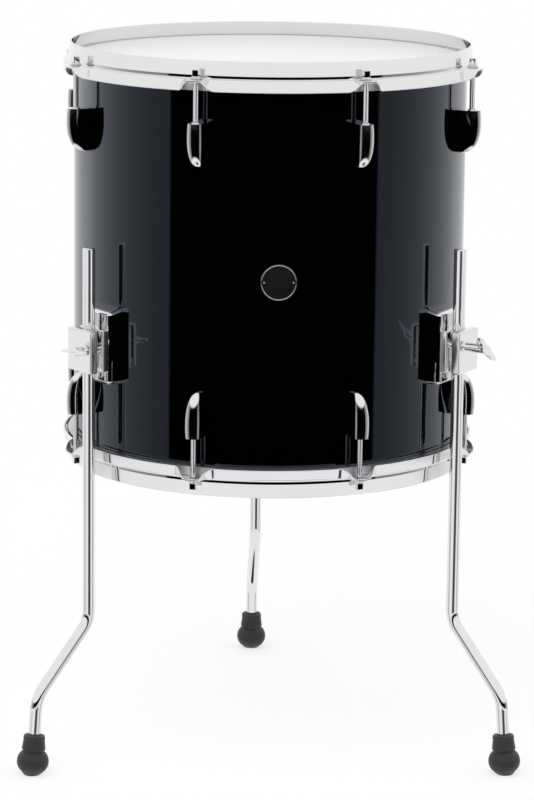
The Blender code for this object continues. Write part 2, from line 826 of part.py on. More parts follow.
def rounded_path(corners, bends, steps=6):
    """Return the points of a path whose inner corners are rounded to the given radii."""
    path = [corners[0]]
    for before, corner, after, radius in zip(corners, corners[1:], corners[2:], bends):
        back = (before - corner).normalized()
        ahead = (after - corner).normalized()
        half = back.angle(ahead) / 2
        centre = corner + (back + ahead).normalized() * radius / math.sin(half)
        start = corner + back * radius / math.tan(half)
        end = corner + ahead * radius / math.tan(half)
        first, last = (start - centre).normalized(), (end - centre).normalized()
        for index in range(steps):
            path.append(centre + first.slerp(last, index / (steps - 1)) * radius)
    path.append(corners[-1])
    return path


def foot_axis_point(height):
    """Return the point of the leg's end section at a height above the floor."""
    return Vector((0.0, -FOOT_REACH + height * math.tan(FOOT_TILT), height))


def make_leg(place, floor):
    """Bend the leg's rod, with a rounded top end, and slip the rubber foot over its lower end."""
    knee = Vector((0.0, 0.0, KNEE_HEIGHT))
    ankle = Vector((0.0, -ANKLE_REACH, ANKLE_HEIGHT))
    top = Vector((0.0, 0.0, LEG_TOP - LEG_RADIUS / 2))
    seat = foot_axis_point(FOOT_FLOOR + TOUCH_GAP)
    path = rounded_path([top, knee, ankle, seat], (KNEE_BEND, ANKLE_BEND))
    stations = [(Vector((0.0, 0.0, LEG_TOP)), 0.55)] + [(point, 1.0) for point in path]
    curve = bpy.data.curves.new("leg_curve", "CURVE")
    curve.dimensions = "3D"
    curve.bevel_depth = LEG_RADIUS
    curve.bevel_resolution = 4
    curve.use_fill_caps = True
    spline = curve.splines.new("POLY")
    spline.points.add(len(stations) - 1)
    for point, (centre, size) in zip(spline.points, stations):
        point.co = (*centre, 1.0)
        point.radius = size
    name = f"leg_{place.side}"
    mesh = baked(new_object("leg_curve", curve), name)
    smooth(mesh)
    leg = new_object(name, mesh, material=CHROME, parent=floor)
    leg.location = at_angle(LEG_CIRCLE, place.angle, 0.0)
    leg.rotation_euler = (0.0, 0.0, place.angle + place.swivel)
    return leg


def make_foot(side, leg, floor_block, roundness=0.8):
    """Turn the rubber foot with its socket, lean it with the leg and flatten it on the floor."""
    socket = LEG_RADIUS + TOUCH_GAP
    sunk = FOOT_SOLE_RADIUS * math.sin(FOOT_TILT)
    bulb = []
    for degrees in (50, 25, 0, -25, -50):
        turn = math.radians(degrees)
        width = FOOT_BULB_RADIUS * math.cos(turn) ** roundness
        bulb.append((width, FOOT_BULB_HEIGHT * (1 + math.sin(turn))))
    foot = turned(
        f"rubber_foot_{side}",
        [
            (socket, FOOT_HEIGHT),
            (FOOT_TOP_RADIUS - FOOT_LIP, FOOT_HEIGHT),
            (FOOT_TOP_RADIUS, FOOT_HEIGHT - FOOT_LIP),
            (FOOT_NECK_RADIUS, FOOT_NECK_HEIGHT),
            *bulb,
            (FOOT_SOLE_RADIUS, -sunk),
            (0.0, -sunk),
            (0.0, FOOT_FLOOR),
            (socket, FOOT_FLOOR),
        ],
        18,
        material=RUBBER,
        parent=leg,
    )
    foot.location = foot_axis_point(0.0)
    foot.rotation_euler = (-FOOT_TILT, 0.0, 0.0)
    combine(foot, floor_block, "DIFFERENCE")


def main():
    """Build the whole drum."""
    floor = new_empty("floor_tom_on_floor", (AXIS_X, AXIS_Y, 0.0))
    drum = new_empty("drum_centre", (0.0, 0.0, MID_HEIGHT), parent=floor)
    make_shell(drum)
    make_vent(drum)
    make_badge(drum)
    make_heads(drum)
    make_flesh_hoops(drum)
    make_counterhoops(drum)
    make_lugs(drum)
    make_rods(drum)
    width = 4 * LEG_CIRCLE
    floor_block = block(
        "floor_block", (width, width, FOOT_HEIGHT), (0.0, 0.0, -FOOT_HEIGHT / 2), collection=CUTTERS
    )
    as_cutter(floor_block)
    for place in LEG_PLACES:
        foot_of_station = at_angle(SHELL_RADIUS, place.angle, BRACKET_HEIGHT)
        station = new_empty(f"bracket_station_{place.side}", foot_of_station, place.angle, floor)
        make_bracket(place, station)
        make_backing(place.side, station)
        plate = make_clamp_plate(place, station)
        make_wing_bolt(place, plate)
        leg = make_leg(place, floor)
        make_foot(place.side, leg, floor_block)


main()
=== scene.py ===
"""Looks of a floor tom: chrome, black gloss lacquer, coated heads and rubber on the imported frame.

Sizes are in metres and +Z is up. The badge faces -Y. Angles round the drum are measured from the
badge towards +X, so a point at angle a and radius R is (R sin a, -R cos a) from the drum's axis. A
piece on the shell is built in a station's frame: X across, -Y outwards and Z up.
"""

from __future__ import annotations

import json
import logging
import math
from collections.abc import Callable, Sequence
from dataclasses import dataclass, field
from enum import Enum

import bmesh
import bpy
from mathutils import Matrix, Vector

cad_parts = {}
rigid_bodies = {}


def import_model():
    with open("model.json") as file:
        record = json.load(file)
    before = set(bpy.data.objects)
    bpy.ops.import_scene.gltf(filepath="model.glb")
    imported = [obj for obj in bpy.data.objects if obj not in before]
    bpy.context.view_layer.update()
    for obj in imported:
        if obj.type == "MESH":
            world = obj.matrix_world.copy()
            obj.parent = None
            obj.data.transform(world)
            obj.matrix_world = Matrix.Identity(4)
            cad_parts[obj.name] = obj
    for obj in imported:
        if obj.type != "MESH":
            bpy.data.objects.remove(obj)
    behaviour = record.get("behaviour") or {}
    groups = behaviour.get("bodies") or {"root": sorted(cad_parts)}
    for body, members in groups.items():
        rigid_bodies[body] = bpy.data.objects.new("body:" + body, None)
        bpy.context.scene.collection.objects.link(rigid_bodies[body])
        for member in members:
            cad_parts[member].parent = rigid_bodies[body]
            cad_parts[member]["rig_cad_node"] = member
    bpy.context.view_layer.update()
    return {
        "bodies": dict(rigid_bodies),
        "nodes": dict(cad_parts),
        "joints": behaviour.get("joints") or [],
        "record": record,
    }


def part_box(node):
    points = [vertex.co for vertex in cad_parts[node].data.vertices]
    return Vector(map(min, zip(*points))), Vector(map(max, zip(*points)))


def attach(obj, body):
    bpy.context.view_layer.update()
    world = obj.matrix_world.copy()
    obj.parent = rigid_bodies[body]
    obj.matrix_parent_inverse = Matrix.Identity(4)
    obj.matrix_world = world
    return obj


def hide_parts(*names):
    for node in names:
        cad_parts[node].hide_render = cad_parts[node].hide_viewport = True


LOG = logging.getLogger("floor_tom")
Point2 = tuple[float, float]
Triple = tuple[float, float, float]
Corner = Triple
Colour = Triple
TINY = 1e-6
TOUCH_GAP = 0.0003
CORNER_REACH = 0.48
NEARLY_STRAIGHT = 0.02
BLOCK_STEPS = 4


class Slot(Enum):
    """The record's material slots."""

    CHROME = "chrome"
    LACQUER = "black_gloss_lacquer"
    FILM = "white_film"
    CHANNEL = "aluminium_channel"
    RUBBER = "black_rubber"
    ENAMEL = "badge_enamel"
    ZINC = "zinc_steel"


class End(Enum):
    """The two playing ends of the drum, with the sign of their height."""

    TOP = 1
    BOTTOM = -1


class Side(Enum):
    """The three leg stations, by their names in the record."""

    LEFT = "left"
    RIGHT = "right"
    REAR = "rear"


# Shader work


def operator(operation: str, swapped: bool = False) -> Callable[..., Signal]:
    """Return a method that joins a Signal and another value with a Math node.

    Args:
        operation: The node's operation.
        swapped: Whether the other value comes first.

    Returns:
        The method.
    """

    def method(self: Signal, other: Signal | float) -> Signal:
        """Return the result of the operation."""
        values = (other, self) if swapped else (self, other)
        return self.work.math(operation, *values)

    return method


class Signal:
    """A shader socket that takes part in Python sums, each of which adds a Math node."""

    def __init__(self, work: NodeWork, socket: bpy.types.NodeSocket) -> None:
        """Keep the socket and the tree that it belongs to."""
        self.work = work
        self.socket = socket

    __add__ = __radd__ = operator("ADD")
    __sub__ = operator("SUBTRACT")
    __rsub__ = operator("SUBTRACT", swapped=True)
    __mul__ = __rmul__ = operator("MULTIPLY")
    __truediv__ = operator("DIVIDE")
    __pow__ = operator("POWER")

    def ramp(self, low: float, high: float) -> Signal:
        """Return a smooth step from 0 at low to 1 at high.

        Args:
            low: Where the step starts.
            high: Where it ends.

        Returns:
            The step.
        """
        settings = {"interpolation_type": "SMOOTHSTEP"}
        ends = {"Value": self, "From Min": low, "From Max": high, "To Min": 0.0, "To Max": 1.0}
        return self.work.node("ShaderNodeMapRange", settings, ends, "Result")


class NodeWork:
    """Builds the nodes of one tree."""

    def __init__(self, tree: bpy.types.NodeTree) -> None:
        """Keep the tree."""
        self.tree = tree

    def node(
        self,
        kind: str,
        settings: dict[str, object] | None = None,
        inputs: dict[str | int, object] | None = None,
        output: str | int = 0,
    ) -> Signal:
        """Add a node.

        Args:
            kind: The node's type.
            settings: Properties that are set before its sockets.
            inputs: Values or Signals for its input sockets, by name or place.
            output: The output socket to return.

        Returns:
            The chosen output.
        """
        made = self.tree.nodes.new(kind)
        for name, value in (settings or {}).items():
            setattr(made, name, value)
        for name, value in (inputs or {}).items():
            if isinstance(value, Signal):
                self.feed(made, name, value)
            else:
                made.inputs[name].default_value = value
        return Signal(self, made.outputs[output])

    def feed(self, node: bpy.types.Node, socket: str | int, value: Signal) -> None:
        """Link a value to a node's input socket."""
        self.tree.links.new(value.socket, node.inputs[socket])

    def math(self, operation: str, *values: Signal | float) -> Signal:
        """Return the result of a Math node."""
        return self.node("ShaderNodeMath", {"operation": operation}, dict(enumerate(values)))

    def parts(self, value: Signal, *axes: str) -> list[Signal]:
        """Return a vector's parts along the named axes."""
        return [self.node("ShaderNodeSeparateXYZ", inputs={"Vector": value}, output=axis) for axis in axes]

    def place(self) -> Signal:
        """Return the object coordinates of the shaded point."""
        return self.node("ShaderNodeTexCoord", output="Object")

    def stretched(self, scale: Sequence[float]) -> Signal:
        """Return the object coordinates scaled along each axis."""
        return self.node("ShaderNodeMapping", inputs={"Vector": self.place(), "Scale": scale})

    def noise(self, scale: float, detail: float = 2.0, at: Signal | None = None) -> Signal:
        """Return a noise from 0 to 1 with so many grains per metre and octaves."""
        ends = {"Vector": at or self.place(), "Scale": scale, "Detail": detail}
        return self.node("ShaderNodeTexNoise", inputs=ends)

    def mix(self, share: Signal, first: Colour | Signal, second: Colour) -> Signal:
        """Return a colour between two, by a share from 0 to 1."""
        ends = {0: share, 6: first if isinstance(first, Signal) else (*first, 1.0), 7: (*second, 1.0)}
        return self.node("ShaderNodeMix", {"data_type": "RGBA"}, ends, 2)

    def vector(self, operation: str, *values: Signal | Sequence[float]) -> Signal:
        """Return the result of a Vector Math node."""
        return self.node("ShaderNodeVectorMath", {"operation": operation}, dict(enumerate(values)))

    def bump(self, height: Signal, depth: float, normal: Signal | None = None) -> Signal:
        """Return a normal bent by a height field.

        Args:
            height: The field, from 0 to 1.
            depth: The height in metres that 1 stands for.
            normal: The normal to start from, or the surface's own.

        Returns:
            The normal.
        """
        ends = {"Height": height, "Distance": depth, "Strength": 1.0}
        if normal is not None:
            ends["Normal"] = normal
        return self.node("ShaderNodeBump", inputs=ends, output="Normal")


@dataclass(frozen=True)
class Finish:
    """A surface finish. Subclasses dress the shader.

    Attributes:
        name: The material's name.
        slot: The record's slot that it belongs to.
        colour: Base colour.
        metallic: Metallic value.
        smooth: Roughness where the surface is cleanest.
        dull: Roughness where it is most handled.
        patch: Grains per metre of the roughness's variation.
    """

    name: str
    slot: Slot
    colour: Colour
    metallic: float = 0.0
    smooth: float = 0.05
    dull: float = 0.10
    patch: float = 30.0

    def material(self) -> bpy.types.Material:
        """Return the material, which is made once.

        Returns:
            The material.
        """
        made = bpy.data.materials.get(self.name)
        if made is None:
            made = bpy.data.materials.new(self.name)
            made.use_nodes = True
            shader = made.node_tree.nodes["Principled BSDF"]
            shader.inputs["Metallic"].default_value = self.metallic
            work = NodeWork(made.node_tree)
            work.feed(shader, "Roughness", self.roughness(work))
            self.dress(work, shader)
        return made

    def roughness(self, work: NodeWork) -> Signal:
        """Return a roughness that drifts between smooth and dull."""
        return work.noise(self.patch, 3.0) * (self.dull - self.smooth) + self.smooth

    def dress(self, work: NodeWork, shader: bpy.types.Node) -> None:
        """Add what this finish has besides its roughness."""


@dataclass(frozen=True)
class Plated(Finish):
    """Polished metal with a faint waviness and a slightly uneven tone.

    Attributes:
        worn: Base colour where the plating is thinnest.
        wear_scale: Patches of wear per metre.
        wave: Depth of the waviness.
        wave_scale: Waves per metre.
        flatness: The share of the surface's lean that the mirror image ignores. Below 0 it adds.
        lean: A lean of the mirror image, upwards if positive.
    """

    worn: Colour = (0.74, 0.74, 0.75)
    wear_scale: float = 11.0
    wave: float = 0.000006
    wave_scale: float = 45.0
    flatness: float = 0.0
    lean: float = 0.0

    def dress(self, work: NodeWork, shader: bpy.types.Node) -> None:
        """Add the tone and the waviness.

        Args:
            work: The material's tree.
            shader: Its Principled node.
        """
        tone = work.mix(work.noise(self.wear_scale), self.colour, self.worn)
        work.feed(shader, "Base Color", tone)
        bent = None
        if self.flatness or self.lean:
            normal = work.node("ShaderNodeNewGeometry", output="Normal")
            scaled = work.vector("MULTIPLY", normal, (1.0, 1.0, 1.0 - self.flatness))
            bent = work.vector("NORMALIZE", work.vector("ADD", scaled, (0.0, 0.0, self.lean)))
        work.feed(shader, "Normal", work.bump(work.noise(self.wave_scale), self.wave, bent))


@dataclass(frozen=True)
class Lacquer(Finish):
    """Deep gloss lacquer outside and bare wood plies inside the shell.

    Attributes:
        axis: A point on the drum's axis, at height 0.
        skin: The radius inside which the wood shows.
        border: The width in which the lacquer ends.
        wood: The plies' light colour.
        grain: The plies' dark colour.
        streak_scale: Streaks per metre along the plies.
        streak_stretch: How much closer the streaks lie in each direction.
        wood_roughness: Roughness of the wood.
        index: Refractive index of the lacquer.
        tint: A painted blue tint on what the lacquer mirrors, standing in for a bluish surround.
    """

    axis: Triple = (0.0, 0.0, 0.0)
    skin: float = 0.2
    border: float = 0.0004
    wood: Colour = (0.62, 0.42, 0.24)
    grain: Colour = (0.46, 0.28, 0.14)
    streak_scale: float = 6.0
    streak_stretch: Triple = (3.0, 3.0, 60.0)
    wood_roughness: float = 0.55
    index: float = 1.72
    tint: Colour = (0.86, 0.99, 1.20)

    def outside(self, work: NodeWork) -> Signal:
        """Return 1 on the lacquer and 0 on the wood, by the distance to the drum's axis."""
        across, along = work.parts(work.vector("SUBTRACT", work.place(), self.axis), "X", "Y")
        return ((across * across + along * along) ** 0.5).ramp(self.skin - self.border, self.skin)

    def roughness(self, work: NodeWork) -> Signal:
        """Return the lacquer's roughness outside and the wood's inside.

        Args:
            work: The material's tree.

        Returns:
            The roughness.
        """
        outside = self.outside(work)
        cloud = work.noise(self.patch) * (self.dull - self.smooth) + self.smooth
        return cloud * outside + (1 - outside) * self.wood_roughness

    def dress(self, work: NodeWork, shader: bpy.types.Node) -> None:
        """Add the lacquer's mirror image with its painted blue tint, and the wood's streaks.

        Args:
            work: The material's tree.
            shader: Its Principled node.
        """
        shader.inputs["IOR"].default_value = self.index
        # The specular tint paints a blue cast onto the lacquer's reflections, in place of a bluish surround.
        shader.inputs["Specular Tint"].default_value = (*self.tint, 1.0)
        streaks = work.noise(self.streak_scale, 6.0, work.stretched(self.streak_stretch))
        wood = work.mix(streaks, self.wood, self.grain)
        work.feed(shader, "Base Color", work.mix(self.outside(work), wood, self.colour))


@dataclass(frozen=True)
class Grained(Finish):
    """A dull surface with a fine grain and a drifting tone.

    Attributes:
        other: The second tone.
        grain_scale: Grains per metre.
        grain_depth: Their depth.
        gloss: Specular level.
    """

    other: Colour = (0.5, 0.5, 0.5)
    grain_scale: float = 900.0
    grain_depth: float = 0.00003
    gloss: float = 0.5

    def dress(self, work: NodeWork, shader: bpy.types.Node) -> None:
        """Add the tone and the grain.

        Args:
            work: The material's tree.
            shader: Its Principled node.
        """
        shader.inputs["Specular IOR Level"].default_value = self.gloss
        tone = work.mix(work.noise(self.patch, 4.0), self.colour, self.other)
        work.feed(shader, "Base Color", tone)
        work.feed(shader, "Normal", work.bump(work.noise(self.grain_scale, 3.0), self.grain_depth))


@dataclass(frozen=True)
class Brushed(Grained):
    """Metal with fine lines round the drum, which lie level in height.

    Attributes:
        line_scale: Lines per metre before the stretch.
        line_stretch: How much closer the lines lie in each direction.
    """

    line_scale: float = 20.0
    line_stretch: Triple = (2.0, 2.0, 160.0)

    def dress(self, work: NodeWork, shader: bpy.types.Node) -> None:
        """Add the tone and the lines.

        Args:
            work: The material's tree.
            shader: Its Principled node.
        """
        lines = work.noise(self.line_scale, 4.0, work.stretched(self.line_stretch))
        work.feed(shader, "Base Color", work.mix(lines, self.colour, self.other))
        work.feed(shader, "Normal", work.bump(lines, self.grain_depth))


def chrome(use: str, smooth: float = 0.025, dull: float = 0.060, **more: float | Colour) -> Plated:
    """Return the chrome of one use, with its roughness and other attributes of Plated."""
    more.setdefault("colour", (0.80, 0.80, 0.81))
    return Plated(f"chrome_{use}", Slot.CHROME, metallic=1.0, smooth=smooth, dull=dull, **more)


CHROME = chrome("plate")
LUG_CHROME = chrome("on_castings", 0.030, 0.070, flatness=0.84)
SPINE_CHROME = chrome("on_spines", flatness=-2.0)
BAR_CHROME = chrome("on_bars", 0.060, 0.110, lean=-0.140)
ROD_CHROME = chrome(
    "on_rods", 0.060, 0.100, colour=(0.66, 0.66, 0.67), worn=(0.60, 0.60, 0.61), lean=-0.155
)
FILM = Grained(
    "coated_film", Slot.FILM, (0.84, 0.84, 0.84), 0.0, 0.16, 0.22, 12.0, other=(0.82, 0.82, 0.815)
)
CHANNEL = Brushed(
    "brushed_channel", Slot.CHANNEL, (0.74, 0.74, 0.75), 1.0, 0.28, 0.42, other=(0.62, 0.62, 0.63)
)
RUBBER = Grained(
    "moulded_rubber",
    Slot.RUBBER,
    (0.012, 0.012, 0.013),
    0.0,
    0.42,
    0.60,
    60.0,
    other=(0.022, 0.022, 0.023),
    grain_scale=1400.0,
    grain_depth=0.00004,
)
ENAMEL = Plated(
    "black_enamel", Slot.ENAMEL, (0.006, 0.006, 0.007), 0.0, 0.10, 0.18, worn=(0.010, 0.010, 0.012)
)
ZINC = Grained(
    "zinc_plate",
    Slot.ZINC,
    (0.60, 0.60, 0.62),
    1.0,
    0.25,
    0.45,
    90.0,
    other=(0.46, 0.47, 0.50),
    grain_depth=0.00001,
)


# Mesh work


def smoothstep(value: float) -> float:
    """Return a smooth rise from 0 to 1."""
    value = min(1.0, max(0.0, value))
    return value * value * (3 - 2 * value)


def rounded_outline(corners: Sequence[Corner], steps: int = 4) -> list[Point2]:
    """Round the corners of a closed outline.

    Args:
        corners: Points with the radius that each is rounded to.
        steps: Points on each rounded corner.

    Returns:
        The outline's points.
    """
    outline: list[Point2] = []
    for index, (across, along, radius) in enumerate(corners):
        here = Vector((across, along))
        before = Vector(corners[index - 1][:2]) - here
        after = Vector(corners[(index + 1) % len(corners)][:2]) - here
        half = before.angle(after) / 2
        reach = min(before.length, after.length) * CORNER_REACH
        if radius < TINY:
            outline.append((here.x, here.y))
            continue
        if half > math.pi / 2 - NEARLY_STRAIGHT:
            cut = min(reach, radius / 4)
            first, last = here + before.normalized() * cut, here + after.normalized() * cut
            outline += [tuple(first.lerp(last, step / (steps - 1))) for step in range(steps)]
            continue
        cut = min(reach, radius / math.tan(half))
        radius = cut * math.tan(half)
        middle = here + (before.normalized() + after.normalized()).normalized() * radius / math.sin(half)
        first = here + before.normalized() * cut - middle
        last = here + after.normalized() * cut - middle
        for step in range(steps):
            arm = first.lerp(last, step / (steps - 1)).normalized() * radius
            outline.append((middle.x + arm.x, middle.y + arm.y))
    return outline


class Form:
    """A piece in the making: closed shells gathered in one mesh."""

    def __init__(self) -> None:
        """Start with nothing."""
        self.shape = bmesh.new()

    def _keep(self, part: bmesh.types.BMesh, place: Matrix | None) -> Form:
        """Add a closed shell with its faces turned outwards.

        Args:
            part: The shell, which is freed.
            place: Where it goes.

        Returns:
            This form.
        """
        bmesh.ops.recalc_face_normals(part, faces=part.faces)
        if place is not None:
            bmesh.ops.transform(part, matrix=place, verts=part.verts)
        mesh = bpy.data.meshes.new("shell_of_form")
        part.to_mesh(mesh)
        part.free()
        self.shape.from_mesh(mesh)
        bpy.data.meshes.remove(mesh)
        return self

    @staticmethod
    def _join(part: bmesh.types.BMesh, ring: list, after: list) -> None:
        """Make the faces between two rings, where a ring of one point is a pole.

        Args:
            part: The mesh that gets the faces.
            ring: The vertices of one ring.
            after: Those of the next.
        """
        count = max(len(ring), len(after))
        for here in range(count if count > 1 else 0):
            there = (here + 1) % count
            if len(ring) == 1:
                part.faces.new((ring[0], after[there], after[here]))
            elif len(after) == 1:
                part.faces.new((ring[here], ring[there], after[0]))
            else:
                part.faces.new((ring[here], ring[there], after[there], after[here]))

    def turn(self, profile: Sequence[Point2], segments: int, place: Matrix | None = None) -> Form:
        """Add a body turned about Z.

        Args:
            profile: (radius, height) points. It closes on itself unless both ends are on the axis.
            segments: Facets round it.
            place: Where it goes.

        Returns:
            This form.
        """
        part = bmesh.new()
        rings = []
        for radius, height in profile:
            if radius < TINY:
                rings.append([part.verts.new((0.0, 0.0, height))])
                continue
            turns = (2 * math.pi * step / segments for step in range(segments))
            rings.append(
                [part.verts.new((radius * math.sin(t), -radius * math.cos(t), height)) for t in turns]
            )
        on_axis = len(rings[0]) == 1 and len(rings[-1]) == 1
        for ring, after in zip(rings, rings[1:] if on_axis else rings[1:] + rings[:1]):
            self._join(part, ring, after)
        return self._keep(part, place)

    def loft(
        self, sections: Sequence[Sequence[Vector]], closed: bool = False, place: Matrix | None = None
    ) -> Form:
        """Add a body through equal-length closed sections.

        Args:
            sections: The sections, in order, each listing its points the same way round.
            closed: Whether the last section joins the first. If not, the ends get flat caps.
            place: Where it goes.

        Returns:
            This form.
        """
        part = bmesh.new()
        rings = [[part.verts.new(point) for point in section] for section in sections]
        for ring, after in zip(rings, rings[1:] + rings[:1] if closed else rings[1:]):
            self._join(part, ring, after)
        if not closed:
            part.faces.new(rings[0])
            part.faces.new(rings[-1])
        return self._keep(part, place)

    def block(
        self,
        size: Sequence[float],
        centre: Sequence[float],
        edge: float,
        slope: float = 0.0,
        place: Matrix | None = None,
    ) -> Form:
        """Add a box with rounded edges.

        Args:
            size: Its size.
            centre: Its middle.
            edge: Radius of its edges.
            slope: How much lower its top is on the outer side.
            place: Where it goes.

        Returns:
            This form.
        """
        part = bmesh.new()
        bmesh.ops.create_cube(part, size=1.0)
        bmesh.ops.scale(part, vec=Vector(size), verts=part.verts)
        for corner in part.verts:
            if corner.co.z > 0 and corner.co.y < 0:
                corner.co.z -= slope
        bmesh.ops.translate(part, vec=Vector(centre), verts=part.verts)
        bmesh.ops.bevel(
            part, geom=part.edges[:], offset=edge, segments=BLOCK_STEPS, profile=0.5, affect="EDGES"
        )
        return self._keep(part, place)

    def bend(self, rule: Callable[[Vector], Vector]) -> Form:
        """Move every point by a rule.

        Args:
            rule: Gives each point its new place.

        Returns:
            The form itself.
        """
        for corner in self.shape.verts:
            corner.co = rule(corner.co)
        return self

    def mesh(self, name: str) -> bpy.types.Mesh:
        """Return the gathered mesh and free the form.

        Args:
            name: The mesh's name.

        Returns:
            The mesh.
        """
        made = bpy.data.meshes.new(name)
        self.shape.to_mesh(made)
        self.shape.free()
        return made


def straight(radius: float, start: Sequence[float], end: Sequence[float], segments: int) -> Form:
    """Return a straight round bar from one point to another.

    Args:
        radius: The bar's radius.
        start: The middle of one end.
        end: The middle of the other.
        segments: Sides round it.

    Returns:
        The bar.
    """
    start, end = Vector(start), Vector(end)
    line = end - start
    place = Vector((0.0, 0.0, 1.0)).rotation_difference(line).to_matrix().to_4x4()
    place.translation = start
    profile = [(0.0, line.length), (radius, line.length), (radius, 0.0), (0.0, 0.0)]
    return Form().turn(profile, segments, place)


def carved(mesh: bpy.types.Mesh, cutters: Sequence[bpy.types.Mesh]) -> bpy.types.Mesh:
    """Cut meshes out of a mesh.

    Args:
        mesh: What is cut. It is removed.
        cutters: What cuts it. They are removed.

    Returns:
        The cut mesh.
    """
    name = mesh.name
    item = bpy.data.objects.new("blank", mesh)
    bpy.context.scene.collection.objects.link(item)
    tools = []
    for cutter in cutters:
        tool = bpy.data.objects.new("cutter", cutter)
        bpy.context.scene.collection.objects.link(tool)
        boolean = item.modifiers.new("cut", "BOOLEAN")
        boolean.object = tool
        boolean.solver = "EXACT"
        tools.append(tool)
    depsgraph = bpy.context.evaluated_depsgraph_get()
    made = bpy.data.meshes.new_from_object(item.evaluated_get(depsgraph))
    for used in (item, *tools):
        worn = used.data
        bpy.data.objects.remove(used)
        bpy.data.meshes.remove(worn)
    made.name = name
    return made


@dataclass
class Workshop:
    """Turns meshes into pieces of the object.

    Attributes:
        sharp: The angle past which edges stay sharp.
        weight: How strongly large faces set the normals, where 50 is not at all.
        made: How many pieces were made.
    """

    sharp: float = math.radians(38.0)
    weight: int = 100
    made: int = 0

    def weigh_normals(self, item: bpy.types.Object) -> None:
        """Let large faces set the normals, so that long flat and round walls mirror truly.

        Args:
            item: The object whose mesh is treated.
        """
        weigh = item.modifiers.new("weigh", "WEIGHTED_NORMAL")
        weigh.keep_sharp = True
        weigh.weight = self.weight
        depsgraph = bpy.context.evaluated_depsgraph_get()
        plain = item.data
        name = plain.name
        item.data = bpy.data.meshes.new_from_object(item.evaluated_get(depsgraph))
        item.modifiers.clear()
        bpy.data.meshes.remove(plain)
        item.data.name = name

    def piece(
        self,
        name: str,
        mesh: bpy.types.Mesh,
        finish: Finish,
        body: str,
        stands_for: Sequence[str] = (),
        sharp: float | None = None,
    ) -> bpy.types.Object:
        """Finish a piece and set it on its body.

        Args:
            name: The piece's name.
            mesh: Its mesh, in the frame's place.
            finish: Its finish.
            body: The body that it rides on.
            stands_for: The CAD nodes that it replaces.
            sharp: The angle past which its edges stay sharp.

        Returns:
            The piece.
        """
        mesh.name = name
        mesh.materials.clear()
        mesh.materials.append(finish.material())
        mesh.shade_smooth()
        mesh.set_sharp_from_angle(angle=sharp or self.sharp)
        item = bpy.data.objects.new(name, mesh)
        bpy.context.scene.collection.objects.link(item)
        self.weigh_normals(item)
        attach(item, body)
        if stands_for:
            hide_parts(*stands_for)
        self.made += 1
        LOG.info("%s rides on %s with %d faces", name, body, len(item.data.polygons))
        return item


class RingOfCopies:
    """A Geometry Nodes tree that sets copies of a mesh round an upright axis."""

    def __init__(self) -> None:
        """Build the tree."""
        self.tree = bpy.data.node_groups.new("ring_of_copies", "GeometryNodeTree")
        kinds = {"Geometry": "Geometry", "Count": "Int", "Phase": "Float", "Radius": "Float"}
        kinds["Finish"] = "Material"
        interface = self.tree.interface
        self.sockets = {
            name: interface.new_socket(name, in_out="INPUT", socket_type=f"NodeSocket{kind}").identifier
            for name, kind in kinds.items()
        }
        interface.new_socket("Geometry", in_out="OUTPUT", socket_type="NodeSocketGeometry")
        work = NodeWork(self.tree)
        given = self.tree.nodes.new("NodeGroupInput")
        base, count, phase, radius, finish = (Signal(work, given.outputs[name]) for name in kinds)
        angle = (work.node("GeometryNodeInputIndex") / count) * math.tau + phase
        across = radius * work.math("SINE", angle)
        along = radius * work.math("COSINE", angle) * -1.0
        spot = work.node("ShaderNodeCombineXYZ", inputs={"X": across, "Y": along})
        turn = work.node("ShaderNodeCombineXYZ", inputs={"Z": angle})
        points = work.node("GeometryNodePoints", inputs={"Count": count, "Position": spot})
        facing = work.node("FunctionNodeEulerToRotation", inputs={0: turn})
        ends = {"Points": points, "Instance": base, "Rotation": facing}
        copies = work.node("GeometryNodeInstanceOnPoints", inputs=ends)
        plain = work.node("GeometryNodeRealizeInstances", inputs={"Geometry": copies})
        ends = {"Geometry": plain, "Material": finish}
        dressed = work.node("GeometryNodeSetMaterial", inputs=ends)
        work.feed(self.tree.nodes.new("NodeGroupOutput"), 0, dressed)

    def mesh(
        self, base: bpy.types.Mesh, count: int, phase: float, radius: float, finish: Finish, axis: Vector
    ) -> bpy.types.Mesh:
        """Return one plain mesh of all the copies.

        Args:
            base: The mesh that is copied, in a station's frame. It is removed.
            count: How many copies.
            phase: The first copy's angle.
            radius: The circle that they stand on.
            finish: Their finish.
            axis: The drum's axis at height 0.

        Returns:
            The mesh, in the frame's place.
        """
        item = bpy.data.objects.new("base", base)
        bpy.context.scene.collection.objects.link(item)
        modifier = item.modifiers.new("ring", "NODES")
        modifier.node_group = self.tree
        given = {"Count": count, "Phase": phase, "Radius": radius, "Finish": finish.material()}
        for name, value in given.items():
            modifier[self.sockets[name]] = value
        depsgraph = bpy.context.evaluated_depsgraph_get()
        made = bpy.data.meshes.new_from_object(item.evaluated_get(depsgraph))
        item.modifiers.clear()
        bpy.data.objects.remove(item)
        bpy.data.meshes.remove(base)
        made.transform(Matrix.Translation(axis))
        return made


# Places read from the frame


